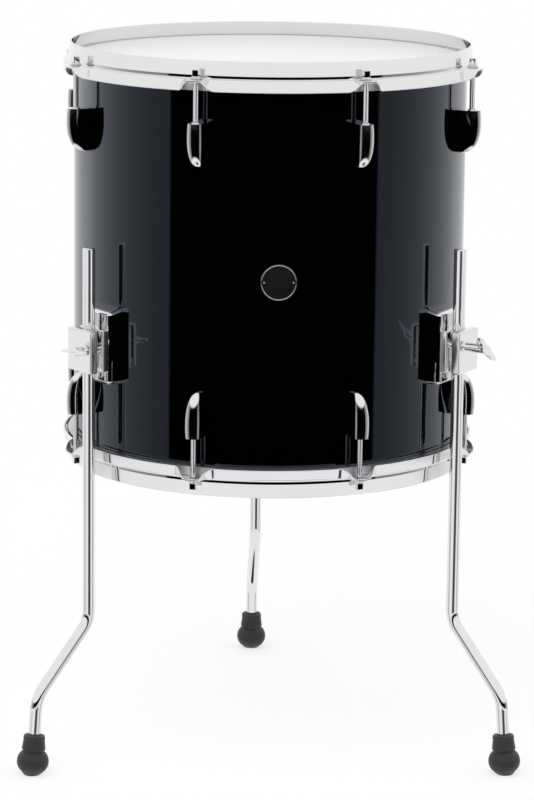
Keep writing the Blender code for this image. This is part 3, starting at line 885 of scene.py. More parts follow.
@dataclass(frozen=True)
class DrumPlaces:
    """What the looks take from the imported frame.

    Attributes:
        axis: The drum's axis at height 0.
        radius: The shell's outer radius.
        low: The shell's lower edge.
        high: The shell's upper edge.
        joints: The record's joints by name.
        mounts: The record's mounts by name.
    """

    axis: Vector
    radius: float
    low: float
    high: float
    joints: dict[str, dict]
    mounts: dict[str, dict]

    @classmethod
    def read(cls, frame: dict) -> DrumPlaces:
        """Read the places from a loaded frame.


        Returns:
            The places.
        """
        low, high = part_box("shell")
        joints = {joint["name"]: joint for joint in frame["joints"]}
        mounts = {mount["name"]: mount for mount in frame["record"]["mounts"]}
        axis = Vector((*((low + high) / 2).xy, 0.0))
        return cls(axis, (high.x - low.x) / 2, low.z, high.z, joints, mounts)

    @property
    def middle(self) -> float:
        """Return the height of the shell's middle."""
        return (self.low + self.high) / 2

    def joint_place(self, name: str) -> Vector:
        """Return where a joint's axis passes."""
        return Vector(self.joints[name]["pos_m"])

    def joint_axis(self, name: str) -> Vector:
        """Return a joint's direction."""
        return Vector(self.joints[name]["axis"]).normalized()

    def angle_of(self, point: Vector) -> float:
        """Return a point's angle round the drum from the badge."""
        arm = point - self.axis
        return math.atan2(arm.x, -arm.y)

    def station(self, angle: float, radius: float = 0.0, height: float = 0.0) -> Matrix:
        """Return the frame of a station, by its angle, its radius and its height."""
        spot = self.axis + Vector((radius * math.sin(angle), -radius * math.cos(angle), height))
        return Matrix.Translation(spot) @ Matrix.Rotation(angle, 4, "Z")

    def end(self, end: End) -> Matrix:
        """Return the matrix that sets a top piece, made about the shell's middle, on either end.

        Args:
            end: The end that the piece goes to.

        Returns:
            The matrix.
        """
        place = Matrix.Translation(self.axis + Vector((0.0, 0.0, self.middle)))
        if end is End.BOTTOM:
            place = place @ Matrix.Rotation(math.pi, 4, "X")
        return place


# Sub-assemblies


@dataclass
class Shell:
    """The lacquered shell with its bearing edges, the air vent and the badge."""

    places: DrumPlaces
    wall: float = 0.0074
    edge_round: float = 0.0016
    segments: int = 288
    sharp: float = math.radians(30.0)
    inner_round: float = 0.0004
    vent_radius: float = 0.0050
    vent_wall: float = 0.0009
    vent_flange: float = 0.0040
    vent_lip: float = 0.0011
    vent_seat: float = 0.0003
    vent_sides: int = 48
    badge_radius: float = 0.0185
    badge_thick: float = 0.0008
    ring_radius: float = 0.0172
    ring_width: float = 0.0007
    badge_dome: float = 0.0003
    badge_sides: int = 96
    nail_spread: float = 0.0146
    nail_radius: float = 0.0008
    nail_sides: int = 20

    def lacquer(self) -> Lacquer:
        """Return the shell's finish, which needs its radius.

        Returns:
            The finish.
        """
        places = self.places
        return Lacquer(
            "gloss_lacquer",
            Slot.LACQUER,
            (0.0004, 0.0004, 0.0005),
            0.0,
            0.012,
            0.030,
            9.0,
            axis=tuple(places.axis),
            skin=places.radius - self.edge_round / 2,
        )

    def profile(self) -> list[Point2]:
        """Return the shell's section with a rounded outer corner and a slope inside.

        Returns:
            Radius and height of each point, all round the section.
        """
        outer, inner = self.places.radius, self.places.radius - self.wall
        top, bottom = self.places.high, self.places.low
        slope = outer - self.edge_round - inner
        corners = [
            (outer, top, self.edge_round),
            (outer, top - 2 * self.edge_round, 0.0),
            (outer, bottom + 2 * self.edge_round, 0.0),
            (outer, bottom, self.edge_round),
            (outer - self.edge_round, bottom, self.inner_round),
            (inner, bottom + slope, self.inner_round),
            (inner, top - slope, self.inner_round),
            (outer - self.edge_round, top, self.inner_round),
        ]
        return rounded_outline(corners, 6)

    def make(self, shop: Workshop) -> None:
        """Make the shell, the vent and the badge.

        Args:
            shop: The workshop that makes the pieces.
        """
        places = self.places
        vent = places.angle_of(sum(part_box("vent_grommet"), Vector()) / 2)
        blank = Form().turn(self.profile(), self.segments, Matrix.Translation(places.axis))
        ends = (
            places.station(vent, places.radius + reach, places.middle).translation
            for reach in (-2 * self.wall, self.wall)
        )
        drill = straight(self.vent_radius + self.vent_wall, *ends, self.vent_sides)
        shell = carved(blank.mesh("shell_blank"), [drill.mesh("vent_drill")])
        shop.piece("lacquered_shell", shell, self.lacquer(), "drum", ["shell"], self.sharp)
        self.make_vent(shop, vent)
        self.make_badge(shop)

    def make_vent(self, shop: Workshop, angle: float) -> None:
        """Make the vent's eyelet, clinched over both sides of the shell.

        Args:
            shop: The workshop that makes the pieces.
            angle: The vent's angle round the drum.
        """
        tube, flange = self.vent_radius + self.vent_wall, self.vent_radius + self.vent_flange
        outside = self.places.radius + TOUCH_GAP
        inside = self.places.radius - self.wall - TOUCH_GAP - self.vent_seat
        lip = self.vent_lip
        corners = [
            (self.vent_radius, outside + lip, 0.0010),
            (flange, outside + lip * 0.5, 0.0004),
            (flange, outside, 0.0001),
            (tube, outside, 0.0002),
            (tube, inside, 0.0002),
            (flange, inside, 0.0001),
            (flange, inside - lip * 0.5, 0.0004),
            (self.vent_radius, inside - lip, 0.0010),
        ]
        lay = self.places.station(angle, 0.0, self.places.middle) @ Matrix.Rotation(math.pi / 2, 4, "X")
        mesh = Form().turn(rounded_outline(corners), self.vent_sides, lay).mesh("vent")
        shop.piece("vent_eyelet", mesh, CHROME, "drum", ["vent_grommet"])

    def make_badge(self, shop: Workshop) -> None:
        """Make the round badge, its raised ring and its two nails, bent to the shell.

        Args:
            shop: The workshop that makes the pieces.
        """
        radius, thick = self.badge_radius, self.badge_thick
        plate = [
            (0.0, thick * 0.6),
            (radius * 0.5, thick * 0.58),
            (radius * 0.90, thick * 0.5),
            (radius - self.badge_dome, thick * 0.4),
            (radius, 0.0),
            (radius, -TOUCH_GAP / 2),
            (0.0, -TOUCH_GAP / 2),
        ]
        half = self.ring_width / 2
        ring = rounded_outline(
            [
                (self.ring_radius + half, thick * 0.9, 0.0002),
                (self.ring_radius + half, 0.0, 0.0),
                (self.ring_radius - half, 0.0, 0.0),
                (self.ring_radius - half, thick * 0.9, 0.0002),
            ]
        )
        crown, edge = (self.nail_radius, thick, self.nail_radius * 0.7), (self.nail_radius, 0.0, 0.0)
        nail = rounded_outline([(0.0, thick, 0.0), crown, edge, (0.0, 0.0, 0.0)])
        skin = self.places.radius + TOUCH_GAP

        def onto_shell(point: Vector) -> Vector:
            """Lay a point of the flat badge on the shell."""
            height = self.places.middle + point.y
            return self.places.station(point.x / skin, skin + point.z, height).translation

        face = Form().turn(plate, self.badge_sides).bend(onto_shell).mesh("badge_face")
        shop.piece("badge_disc", face, ENAMEL, "drum", ["badge"])
        trim = Form().turn(ring, self.badge_sides)
        for side in (-1, 1):
            spot = Matrix.Translation((side * self.nail_spread, 0.0, 0.0))
            trim.turn(nail, self.nail_sides, spot)
        shop.piece("badge_trim", trim.bend(onto_shell).mesh("badge_trim"), CHROME, "drum")


@dataclass
class Heads:
    """The two coated heads, which the channel rings grip."""

    places: DrumPlaces
    film: float = 0.0005
    lip_drop: float = 0.0128
    ridge_in: float = 0.0016
    ridge_shift: float = 0.0006
    outer_round: float = 0.0012
    inner_round: float = 0.0008
    round_steps: int = 5
    inner_rings: tuple[float, ...] = (0.5, 0.9)
    segments: int = 256

    def make(self, shop: Workshop) -> None:
        """Make both heads.

        Args:
            shop: The workshop that makes the pieces.
        """
        edge = self.places.high - self.places.middle
        lip_in = self.places.radius + TOUCH_GAP
        ridge = self.places.radius - self.ridge_in
        top = edge + TOUCH_GAP + self.film
        corners = [
            (ridge + self.ridge_shift, top, self.outer_round),
            (lip_in + self.film, top - self.ridge_in, self.outer_round),
            (lip_in + self.film, top - self.lip_drop, 0.0),
            (lip_in, top - self.lip_drop, 0.0),
            (lip_in, top - self.ridge_in - self.film / 2, self.inner_round),
            (ridge, top - self.film, self.inner_round),
        ]
        rim = rounded_outline(corners, self.round_steps)
        flat = [(0.0, top), *((ridge * share, top) for share in self.inner_rings)]
        disc = [*flat, *rim, (0.0, top - self.film)]
        for end, name in ((End.TOP, "batter_head"), (End.BOTTOM, "resonant_head")):
            mesh = Form().turn(disc, self.segments, self.places.end(end)).mesh(name)
            shop.piece(f"coated_{name}", mesh, FILM, "drum", [name])


@dataclass
class Counterhoops:
    """The two bent-sheet hoops: a collar, a step and a skirt that swings out into eight ears.

    The collar draws in towards its free edge and the skirt spreads a little, as bent sheet does.
    """

    places: DrumPlaces
    sheet: float = 0.0023
    collar: float = 0.0054
    collar_rise: float = 0.0151
    step_drop: float = 0.0027
    skirt_reach: float = 0.0057
    skirt_drop: float = 0.0121
    ear_reach: float = 0.0170
    ear_flat: float = 0.0065
    ear_sweep: float = 0.0210
    draw: float = math.radians(3.2)
    foot: float = 0.0034
    ears: int = 8
    stations: int = 64
    standoff: float = 0.0142
    hole: float = 0.0036
    hole_sides: int = 32
    soft_bend: float = 0.0080
    sharp: float = math.radians(50.0)

    def section(self, flare: float) -> list[Point2]:
        """Return the sheet's section.

        Args:
            flare: 0 where the flange hangs as a skirt and 1 where it stands out as an ear.

        Returns:
            (radius, height) points, the height from the shell's middle.
        """
        edge = self.places.high - self.places.middle
        half = self.sheet / 2
        collar = self.places.radius + self.collar
        step_top = edge - self.step_drop
        top = edge + self.collar_rise
        foot = step_top + self.foot
        lean = (top - foot) * math.tan(self.draw)
        hang = (1 - flare) * (math.pi / 2 - self.draw)
        bend = Vector((collar + self.skirt_reach - half, step_top - half))
        length = (1 - flare) * (self.skirt_drop - half) + flare * (collar + self.ear_reach - bend.x)
        along = Vector((math.cos(hang), -math.sin(hang)))
        across = Vector((math.sin(hang), math.cos(hang)))
        mitre = (Vector((0.0, 1.0)) + across) * half / (1 + across.y)
        end = bend + along * length
        inner = collar - self.sheet
        corners = [
            (collar - lean, top, half * 0.95),
            (collar, foot, self.soft_bend),
            (collar, step_top, 0.0007),
            (*(bend + mitre), 0.0026),
            (*(end + across * half), half * 0.7),
            (*(end - across * half), half * 0.7),
            (*(bend - mitre), 0.0008),
            (inner, step_top - self.sheet, 0.0020),
            (inner, foot, self.soft_bend),
            (inner - lean, top, half * 0.95),
        ]
        return rounded_outline(corners, 6)

    def sections(self) -> list[list[Vector]]:
        """Return the hoop's sections all round.

        Returns:
            One ring of points for each station round the hoop.
        """
        step = math.tau / self.ears
        rod_circle = self.places.radius + self.standoff
        rings = []
        for station in range(self.ears * self.stations):
            angle = station * step / self.stations
            offset = abs((angle % step) - step / 2) * rod_circle
            flare = 1 - smoothstep((offset - self.ear_flat) / (self.ear_sweep - self.ear_flat))
            sine, cosine = math.sin(angle), math.cos(angle)
            rings.append([Vector((r * sine, -r * cosine, z)) for r, z in self.section(flare)])
        return rings

    def drills(self, end: End) -> bpy.types.Mesh:
        """Return the cutter that makes one hoop's rod holes.

        Args:
            end: The hoop's end of the drum.

        Returns:
            The cutter.
        """
        step = math.tau / self.ears
        height = self.places.high - self.places.middle - self.step_drop
        form = Form()
        for ear in range(self.ears):
            angle = (ear + 0.5) * step
            arm = Vector((math.sin(angle), -math.cos(angle), 0.0))
            spot = arm * (self.places.radius + self.standoff)
            spot.z = height - 2 * self.sheet
            tall = 3 * self.sheet
            profile = [(0.0, tall), (self.hole, tall), (self.hole, 0.0), (0.0, 0.0)]
            form.turn(profile, self.hole_sides, self.places.end(end) @ Matrix.Translation(spot))
        return form.mesh("drills")

    def make(self, shop: Workshop) -> None:
        """Make both hoops.

        Args:
            shop: The workshop that makes the pieces.
        """
        for end, name in ((End.TOP, "batter_hoop"), (End.BOTTOM, "resonant_hoop")):
            mesh = Form().loft(self.sections(), True, self.places.end(end)).mesh(name)
            drilled = carved(mesh, [self.drills(end)])
            shop.piece(f"bent_{name}", drilled, CHROME, "drum", [name], self.sharp)


@dataclass
class Lugs:
    """Sixteen teardrop lugs, each with a bushing in its mouth and two screws inside the shell."""

    places: DrumPlaces
    pairs: int = 8
    standoff: float = 0.0142
    mouth_drop: float = 0.0457
    length: float = 0.0440
    reach: float = 0.0240
    half_width: float = 0.0081
    web: float = 0.0026
    draft: float = 0.0009
    widest: float = 0.30
    crease_end: float = 0.72
    web_end: float = 0.62
    flank: float = 0.96
    web_share: float = 0.97
    hollow: tuple[float, float] = (0.45, 0.55)
    tip: tuple[float, float] = (2.2, 0.36)
    least_size: float = 0.02
    least_crease: float = 0.0004
    arc_steps: int = 20
    sides: int = 32
    sharp: float = math.radians(42.0)
    bushing: float = 0.0043
    bushing_wall: float = 0.0004
    bushing_rise: float = 0.0010
    bore: float = 0.0031
    drill_depth: float = 0.0240
    sections: int = 26
    screw_spread: float = 0.0160
    screw_radius: float = 0.0040
    screw_sides: int = 16
    wall: float = 0.0074

    def section(self, part: float) -> list[Vector]:
        """Return the lug's section at a part of its length from the mouth.

        The barrel is round in front. A crease runs from the mouth's shell corner to the barrel, and
        behind it the flanks draw in to a web.

        Args:
            part: The part of the length, from 0 to 1.

        Returns:
            The section's points in a station's frame on the rod's axis.
        """
        past = max(0.0, (part - self.widest) / (1 - self.widest))
        before = max(0.0, 1 - part / self.widest)
        fall, fullness = self.tip
        size = max(self.least_size, max(0.0, 1 - past**fall) ** fullness)
        draft = self.draft * before * before
        reach = (self.reach - draft) * size
        width = (self.half_width - draft / 2) * size
        widest_web = width * self.web_share
        web = max(min(self.web, widest_web), width * (1 - part / self.web_end) * self.web_share)
        barrel = max(reach - width, reach / 3)
        crease = max(self.least_crease, barrel * min(1.0, part / self.crease_end))
        back = self.standoff - TOUCH_GAP
        arc = [math.pi * step / self.arc_steps for step in range(self.arc_steps + 1)]
        hollow = (web + (width - web) * self.hollow[0], crease * self.hollow[1])
        flank = [(web, 0.0), hollow, (width * self.flank, crease)]
        barrel_arc = [(width * math.cos(t), barrel + (reach - barrel) * math.sin(t)) for t in arc]
        outline = flank + barrel_arc + [(-across, out) for across, out in reversed(flank)]
        return [Vector((across, back - out, -part * self.length)) for across, out in outline]

    def lug(self) -> Form:
        """Return one upper lug in its station's frame, with the mouth at height 0.

        Returns:
            The lug.
        """
        last = self.sections - 1
        parts = [math.sin(math.pi / 2 * step / last) for step in range(self.sections)]
        body = Form().loft([self.section(part) for part in parts]).mesh("lug_body")
        bottom, top = (0.0, 0.0, -self.drill_depth), (0.0, 0.0, self.bushing_rise)
        socket, rise = self.bushing - self.bushing_wall, self.bushing_rise
        drill = straight(socket, bottom, top, self.sides).mesh("lug_drill")
        form = Form()
        cut = carved(body, [drill])
        form.shape.from_mesh(cut)
        bpy.data.meshes.remove(cut)
        ring = [
            (self.bushing, rise, 0.0005),
            (self.bushing, 0.0, 0.0),
            (socket, 0.0, 0.0),
            (socket, -2 * rise, 0.0),
            (self.bore, -2 * rise, 0.0),
            (self.bore, rise, 0.0004),
        ]
        return form.turn(rounded_outline(ring), self.sides)

    def screws(self) -> Form:
        """Return the two pan-head screws and washers of one lug, inside the shell.

        Returns:
            The screws.
        """
        form = Form()
        inside = self.wall + TOUCH_GAP * 2 + self.standoff
        radius = self.screw_radius
        head = [(0.0, 0.0026), (radius * 0.6, 0.0024), (radius * 0.95, 0.0014), (radius, 0.0004)]
        profile = [*head, (radius * 1.4, 0.0004), (radius * 1.4, -0.0002), (0.0, -0.0002)]
        for level in (-1, 1):
            height = -self.length / 2 + level * self.screw_spread / 2
            place = Matrix.Translation((0.0, inside, height)) @ Matrix.Rotation(-math.pi / 2, 4, "X")
            form.turn(profile, self.screw_sides, place)
        return form

    def make(self, shop: Workshop, ring: RingOfCopies) -> None:
        """Make the lugs and the screws at both ends.

        Args:
            shop: The workshop that makes the pieces.
            ring: The tree that sets the copies round the drum.
        """
        circle = self.places.radius + self.standoff
        phase = math.pi / self.pairs
        for end in End:
            turn = Matrix.Rotation(0.0 if end is End.TOP else math.pi, 4, "Y")
            edge = self.places.high if end is End.TOP else self.places.low
            lift = Matrix.Translation((0.0, 0.0, edge - end.value * self.mouth_drop)) @ turn
            label = end.name.lower()
            nodes = sorted(name for name in cad_nodes() if name.startswith(f"lug_{label}_"))
            for form, title, finish, stood in (
                (self.lug(), "lugs", LUG_CHROME, nodes),
                (self.screws(), "lug_screws", ZINC, []),
            ):
                base = form.bend(lambda point: lift @ point).mesh(title)
                mesh = ring.mesh(base, self.pairs, phase, circle, finish, self.places.axis)
                shop.piece(f"{title}_{label}", mesh, finish, "drum", stood, self.sharp)


def cad_nodes() -> list[str]:
    """Return the names of the CAD nodes in the scene."""
    return [item["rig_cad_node"] for item in bpy.data.objects if "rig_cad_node" in item]


@dataclass
class TensionRods:
    """Sixteen tension rods, each with a washer, a flange and a square key head."""

    places: DrumPlaces
    radius: float = 0.00275
    washer: float = 0.0060
    washer_thick: float = 0.0012
    flange: float = 0.0049
    square: float = 0.00635
    key_height: float = 0.0073
    mouth_drop: float = 0.0457
    step_drop: float = 0.0027
    grip: float = 0.0220
    key_edge: float = 0.0007
    sides: int = 32

    def rod(self) -> Form:
        """Return an upper rod about its own axis, with the hoop's step at height 0.

        Returns:
            The rod without its key head.
        """
        washer = TOUCH_GAP + self.washer_thick
        flange = washer + self.washer_thick
        length = self.mouth_drop - self.step_drop + self.grip
        shank = [
            (0.0, washer, 0.0),
            (self.washer, washer, 0.0003),
            (self.washer, TOUCH_GAP, 0.0003),
            (self.radius, TOUCH_GAP, 0.0),
            (self.radius, -length, 0.0008),
            (0.0, -length, 0.0),
        ]
        collar = [
            (0.0, flange + 0.0005, 0.0),
            (self.flange * 0.75, flange + 0.0005, 0.0004),
            (self.flange, flange - 0.0003, 0.0004),
            (self.flange, washer - 0.0002, 0.0),
            (0.0, washer - 0.0002, 0.0),
        ]
        form = Form().turn(rounded_outline(shank), self.sides)
        return form.turn(rounded_outline(collar), self.sides)

    def key(self) -> Form:
        """Return the square key head of an upper rod.

        Returns:
            The key head.
        """
        base = TOUCH_GAP + 2 * self.washer_thick
        size = (self.square, self.square, self.key_height)
        return Form().block(size, (0.0, 0.0, base + self.key_height / 2), self.key_edge)

    def make(self, shop: Workshop) -> None:
        """Make every rod on its own body.

        Args:
            shop: The workshop that makes the pieces.
        """
        for joint in sorted(self.places.joints):
            if not joint.startswith("turn_rod_"):
                continue
            body = joint.removeprefix("turn_")
            spot = self.places.joint_place(joint)
            place = Matrix.Translation(spot) @ Matrix.Rotation(self.places.angle_of(spot), 4, "Z")
            if self.places.joint_axis(joint).z < 0:
                place = place @ Matrix.Rotation(math.pi, 4, "Y")
            for title, form, finish, stood in (
                ("threaded", self.rod(), ROD_CHROME, [f"tension_{body}"]),
                ("key_of", self.key(), CHROME, []),
            ):
                mesh = form.bend(lambda point, place=place: place @ point).mesh(body)
                shop.piece(f"{title}_{body}", mesh, finish, body, stood)


@dataclass
class LegStation:
    """One leg with its foot, bracket, clamp plate and wing bolt.

    The bracket's frame has Y 0 on the shell's skin and -Y outwards.
    """

    places: DrumPlaces
    side: Side
    standoff: float = 0.0236
    rise: float = 0.1257
    spine: tuple[float, float, float] = (0.0450, 0.0140, 0.0800)
    spine_slope: float = 0.0040
    spine_round: float = 0.0042
    jaw: tuple[float, float, float] = (0.0405, 0.0098, 0.0436)
    jaw_drop: float = 0.0045
    split: float = 0.0048
    plate_edge: float = 0.0017
    leg_radius: float = 0.00635
    leg_sides: int = 40
    knee: float = 0.1504
    ankle: float = 0.0794
    ankle_reach: float = 0.0663
    knee_bend: float = 0.0280
    ankle_bend: float = 0.0380
    bend_steps: int = 14
    crown: float = 0.0016
    crown_rings: tuple[Point2, ...] = ((1.0, 0.72), (0.85, 0.86), (0.5, 0.965))
    foot_floor: float = 0.0080
    shaft: float = 0.0050
    shaft_neck: float = 0.92
    shaft_foot: float = 1.06
    neck_rise: float = 0.0036
    foot_rise: float = 0.0026
    thread: float = 0.0040
    wing_span: float = 0.0450
    wing_depth: float = 0.0116
    wing_lean: float = 0.0030
    wing_thick: float = 0.0042
    wing_rise: float = 0.0014
    wing_steps: int = 44
    wing_sides: int = 20
    hub_share: float = 0.20
    hub_depth: float = 0.0006
    hub_thick: float = 0.0026
    end_swell: float = 0.0015
    end_taper: float = 0.7
    tip_band: float = 0.97
    sides: int = 48
    axis: Vector = field(init=False)
    angle: float = field(init=False)

    def __post_init__(self) -> None:
        """Find the leg's upright axis and its angle round the drum."""
        outward = self.places.joint_axis(f"open_clamp_{self.side.value}")
        self.angle = math.atan2(outward.x, -outward.y)
        reach = self.places.radius + self.standoff
        self.axis = self.places.station(self.angle, reach).translation

    def seat(self) -> Matrix:
        """Return the bracket's frame."""
        return self.places.station(self.angle, self.places.radius, self.places.low + self.rise)

    def cutters(self) -> list[bpy.types.Mesh]:
        """Return the round cutters that leave the leg's half groove and the bolt's hole.

        Returns:
            The groove's cutter and the hole's.
        """
        height = self.spine[2]
        ends = ((0.0, -self.standoff, level) for level in (-height, height))
        groove = straight(self.leg_radius + TOUCH_GAP, *ends, self.sides)
        groove.bend(lambda point: self.seat() @ point)
        bolt = self.places.joint_place(f"turn_wing_{self.side.value}")
        reach = self.places.joint_axis(f"turn_wing_{self.side.value}") * self.standoff
        hole = straight(self.thread + TOUCH_GAP, bolt - reach, bolt + reach, self.leg_sides)
        return [groove.mesh("groove"), hole.mesh("bolt_hole")]

    def make_bracket(self, shop: Workshop) -> None:
        """Make the spine on the shell and the jaw behind the leg, two pieces of one casting.

        Args:
            shop: The workshop that makes the pieces.
        """
        width, depth, height = self.spine
        skin = self.places.radius
        behind = skin - math.sqrt(skin**2 - width**2 / 4) + self.spine_round
        spine = Form().block(
            (width, depth + behind, height),
            (0.0, -TOUCH_GAP + (behind - depth) / 2, 0.0),
            self.spine_round,
            self.spine_slope,
        )
        ends = (self.places.station(0.0, 0.0, level).translation for level in (0.0, self.places.high))
        shell = straight(skin + TOUCH_GAP, *ends, Shell.segments).mesh("shell_cutter")
        mesh = spine.bend(lambda point: self.seat() @ point).mesh("spine")
        mesh = carved(mesh, [*self.cutters(), shell])
        name = f"bracket_{self.side.value}"
        shop.piece(f"cast_{name}", mesh, SPINE_CHROME, "drum", [name])
        front = -self.standoff + self.split / 2
        centre = (0.0, front + self.jaw[1] / 2, -self.jaw_drop)
        jaw = Form().block(self.jaw, centre, self.plate_edge)
        mesh = jaw.bend(lambda point: self.seat() @ point).mesh("jaw")
        shop.piece(f"jaw_of_{name}", carved(mesh, self.cutters()), BAR_CHROME, "drum")

    def make_plate(self, shop: Workshop) -> None:
        """Make the outer clamp plate.

        Args:
            shop: The workshop that makes the pieces.
        """
        back = -self.standoff - self.split / 2
        centre = (0.0, back - self.jaw[1] / 2, -self.jaw_drop)
        form = Form().block(self.jaw, centre, self.plate_edge)
        mesh = form.bend(lambda point: self.seat() @ point).mesh("plate")
        cut = carved(mesh, self.cutters())
        name = f"clamp_plate_{self.side.value}"
        shop.piece(f"cast_{name}", cut, BAR_CHROME, f"clamp_{self.side.value}", [name])

    def wing_turn(self) -> tuple[Matrix, float, float]:
        """Read the wing bolt's frame from its node.

        Returns:
            The frame with Z outwards and X along the wings, the wings' middle, and the thread's end.
        """
        label = self.side.value
        place = self.places.joint_place(f"turn_wing_{label}")
        outward = self.places.joint_axis(f"turn_wing_{label}")
        node = bpy.data.objects[f"wing_bolt_{label}"]
        arms = [vertex.co - place for vertex in node.data.vertices]
        reach = max(arm.dot(outward) for arm in arms)
        end = min(arm.dot(outward) for arm in arms)
        level = [arm - outward * arm.dot(outward) for arm in arms]
        span = max(arm.length for arm in level)
        tips = [arm for arm in level if arm.length > span * self.tip_band]
        across = sum((arm if arm.dot(tips[0]) > 0 else -arm for arm in tips), Vector()).normalized()
        if across.z < 0:
            across = -across
        turn = Matrix((across, outward.cross(across), outward)).transposed().to_4x4()
        turn.translation = place
        return turn, reach - self.wing_lean - self.wing_depth / 2 + self.wing_rise, end

    def make_wing_bolt(self, shop: Workshop) -> None:
        """Make the thread, the shaft and the two wings.

        Args:
            shop: The workshop that makes the pieces.
        """
        turn, middle, end = self.wing_turn()
        face = self.jaw[1] + TOUCH_GAP
        neck, foot = self.shaft * self.shaft_neck, self.shaft * self.shaft_foot
        profile = [
            (0.0, middle, 0.0),
            (neck, middle, 0.0),
            (neck, face + self.neck_rise, 0.0010),
            (foot, face + self.foot_rise, 0.0006),
            (foot, face, 0.0004),
            (self.thread, face, 0.0),
            (self.thread, end, 0.0006),
            (0.0, end, 0.0),
        ]
        form = Form().turn(rounded_outline(profile), self.leg_sides)
        turns = [math.tau * step / self.wing_sides for step in range(self.wing_sides)]
        sections = []
        for step in range(self.wing_steps + 1):
            along = -math.cos(math.pi * step / self.wing_steps)
            swell = math.sqrt(max(self.end_swell, 1 - abs(along) ** 3))
            hub = math.exp(-((along / self.hub_share) ** 2))
            depth = (self.wing_depth / 2 + self.hub_depth * hub) * swell
            thick = (self.wing_thick / 2 + self.hub_thick * hub) * swell**self.end_taper
            lean = middle + self.wing_lean * along**2
            out = along * self.wing_span / 2
            sections.append([Vector((out, thick * math.sin(t), lean + depth * math.cos(t))) for t in turns])
        form.loft(sections)
        label = self.side.value
        mesh = form.bend(lambda point: turn @ point).mesh("wing_bolt")
        shop.piece(f"forged_wing_bolt_{label}", mesh, BAR_CHROME, f"wing_{label}", [f"wing_bolt_{label}"])

    def leg_path(self) -> list[Vector]:
        """Return the leg's centre line from its top to the foot's socket.

        Returns:
            Points of the centre line.
        """
        sole = Vector(self.places.mounts[f"sole_{self.side.value}"]["pos_m"])
        outward = (sole - self.axis).normalized()
        reach = (sole - self.axis).length
        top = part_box(f"leg_{self.side.value}")[1].z
        tilt = (reach - self.ankle_reach) / self.ankle
        corners = [
            self.axis + Vector((0.0, 0.0, top - self.crown)),
            self.axis + Vector((0.0, 0.0, self.knee)),
            self.axis + outward * self.ankle_reach + Vector((0.0, 0.0, self.ankle)),
            sole + Vector((0.0, 0.0, self.foot_floor)) - outward * tilt * self.foot_floor,
        ]
        path = [corners[0]]
        for index, radius in ((1, self.knee_bend), (2, self.ankle_bend)):
            here = corners[index]
            back = (corners[index - 1] - here).normalized()
            ahead = (corners[index + 1] - here).normalized()
            half = back.angle(ahead) / 2
            middle = here + (back + ahead).normalized() * radius / math.sin(half)
            first = here + back * radius / math.tan(half) - middle
            last = here + ahead * radius / math.tan(half) - middle
            for step in range(self.bend_steps + 1):
                arm = first.lerp(last, step / self.bend_steps).normalized() * radius
                path.append(middle + arm)
        path.append(corners[-1])
        return path

    def make_leg(self, shop: Workshop) -> None:
        """Sweep the leg's round rod, with a rounded top.

        Args:
            shop: The workshop that makes the pieces.
        """
        path = self.leg_path()
        side = (path[-1] - path[0]).cross(Vector((0.0, 0.0, 1.0))).normalized()
        up = (path[0] - path[1]).normalized()
        rings = [(path[0] + up * self.crown * lift, up, size) for lift, size in self.crown_rings]
        for index, point in enumerate(path):
            before, after = path[max(0, index - 1)], path[min(len(path) - 1, index + 1)]
            rings.append((point, (before - after).normalized(), 1.0))
        turns = [math.tau * step / self.leg_sides for step in range(self.leg_sides)]
        sections = []
        for point, line, size in rings:
            other = line.cross(side).normalized()
            radius = self.leg_radius * size
            sections.append([point + (side * math.cos(t) + other * math.sin(t)) * radius for t in turns])
        label = self.side.value
        mesh = Form().loft(sections).mesh("leg")
        shop.piece(f"bent_leg_{label}", mesh, BAR_CHROME, f"stand_{label}", [f"leg_{label}"])

    def make_foot(self, shop: Workshop) -> None:
        """Turn the rubber foot and flatten it on the floor.

        Args:
            shop: The workshop that makes the pieces.
        """
        path = self.leg_path()
        line = (path[-2] - path[-1]).normalized()
        sole = Vector(self.places.mounts[f"sole_{self.side.value}"]["pos_m"])
        place = Vector((0.0, 0.0, 1.0)).rotation_difference(line).to_matrix().to_4x4()
        place.translation = sole
        foot = RubberFoot(self.leg_radius + TOUCH_GAP, self.foot_floor)
        mesh = foot.form(place).mesh("foot")
        label = self.side.value
        shop.piece(f"moulded_foot_{label}", mesh, RUBBER, f"stand_{label}", [f"rubber_foot_{label}"])

    def make(self, shop: Workshop) -> None:
        """Make every piece of the station.

        Args:
            shop: The workshop that makes the pieces.
        """
        self.make_bracket(shop)
        self.make_plate(shop)
        self.make_wing_bolt(shop)
        self.make_leg(shop)
        self.make_foot(shop)


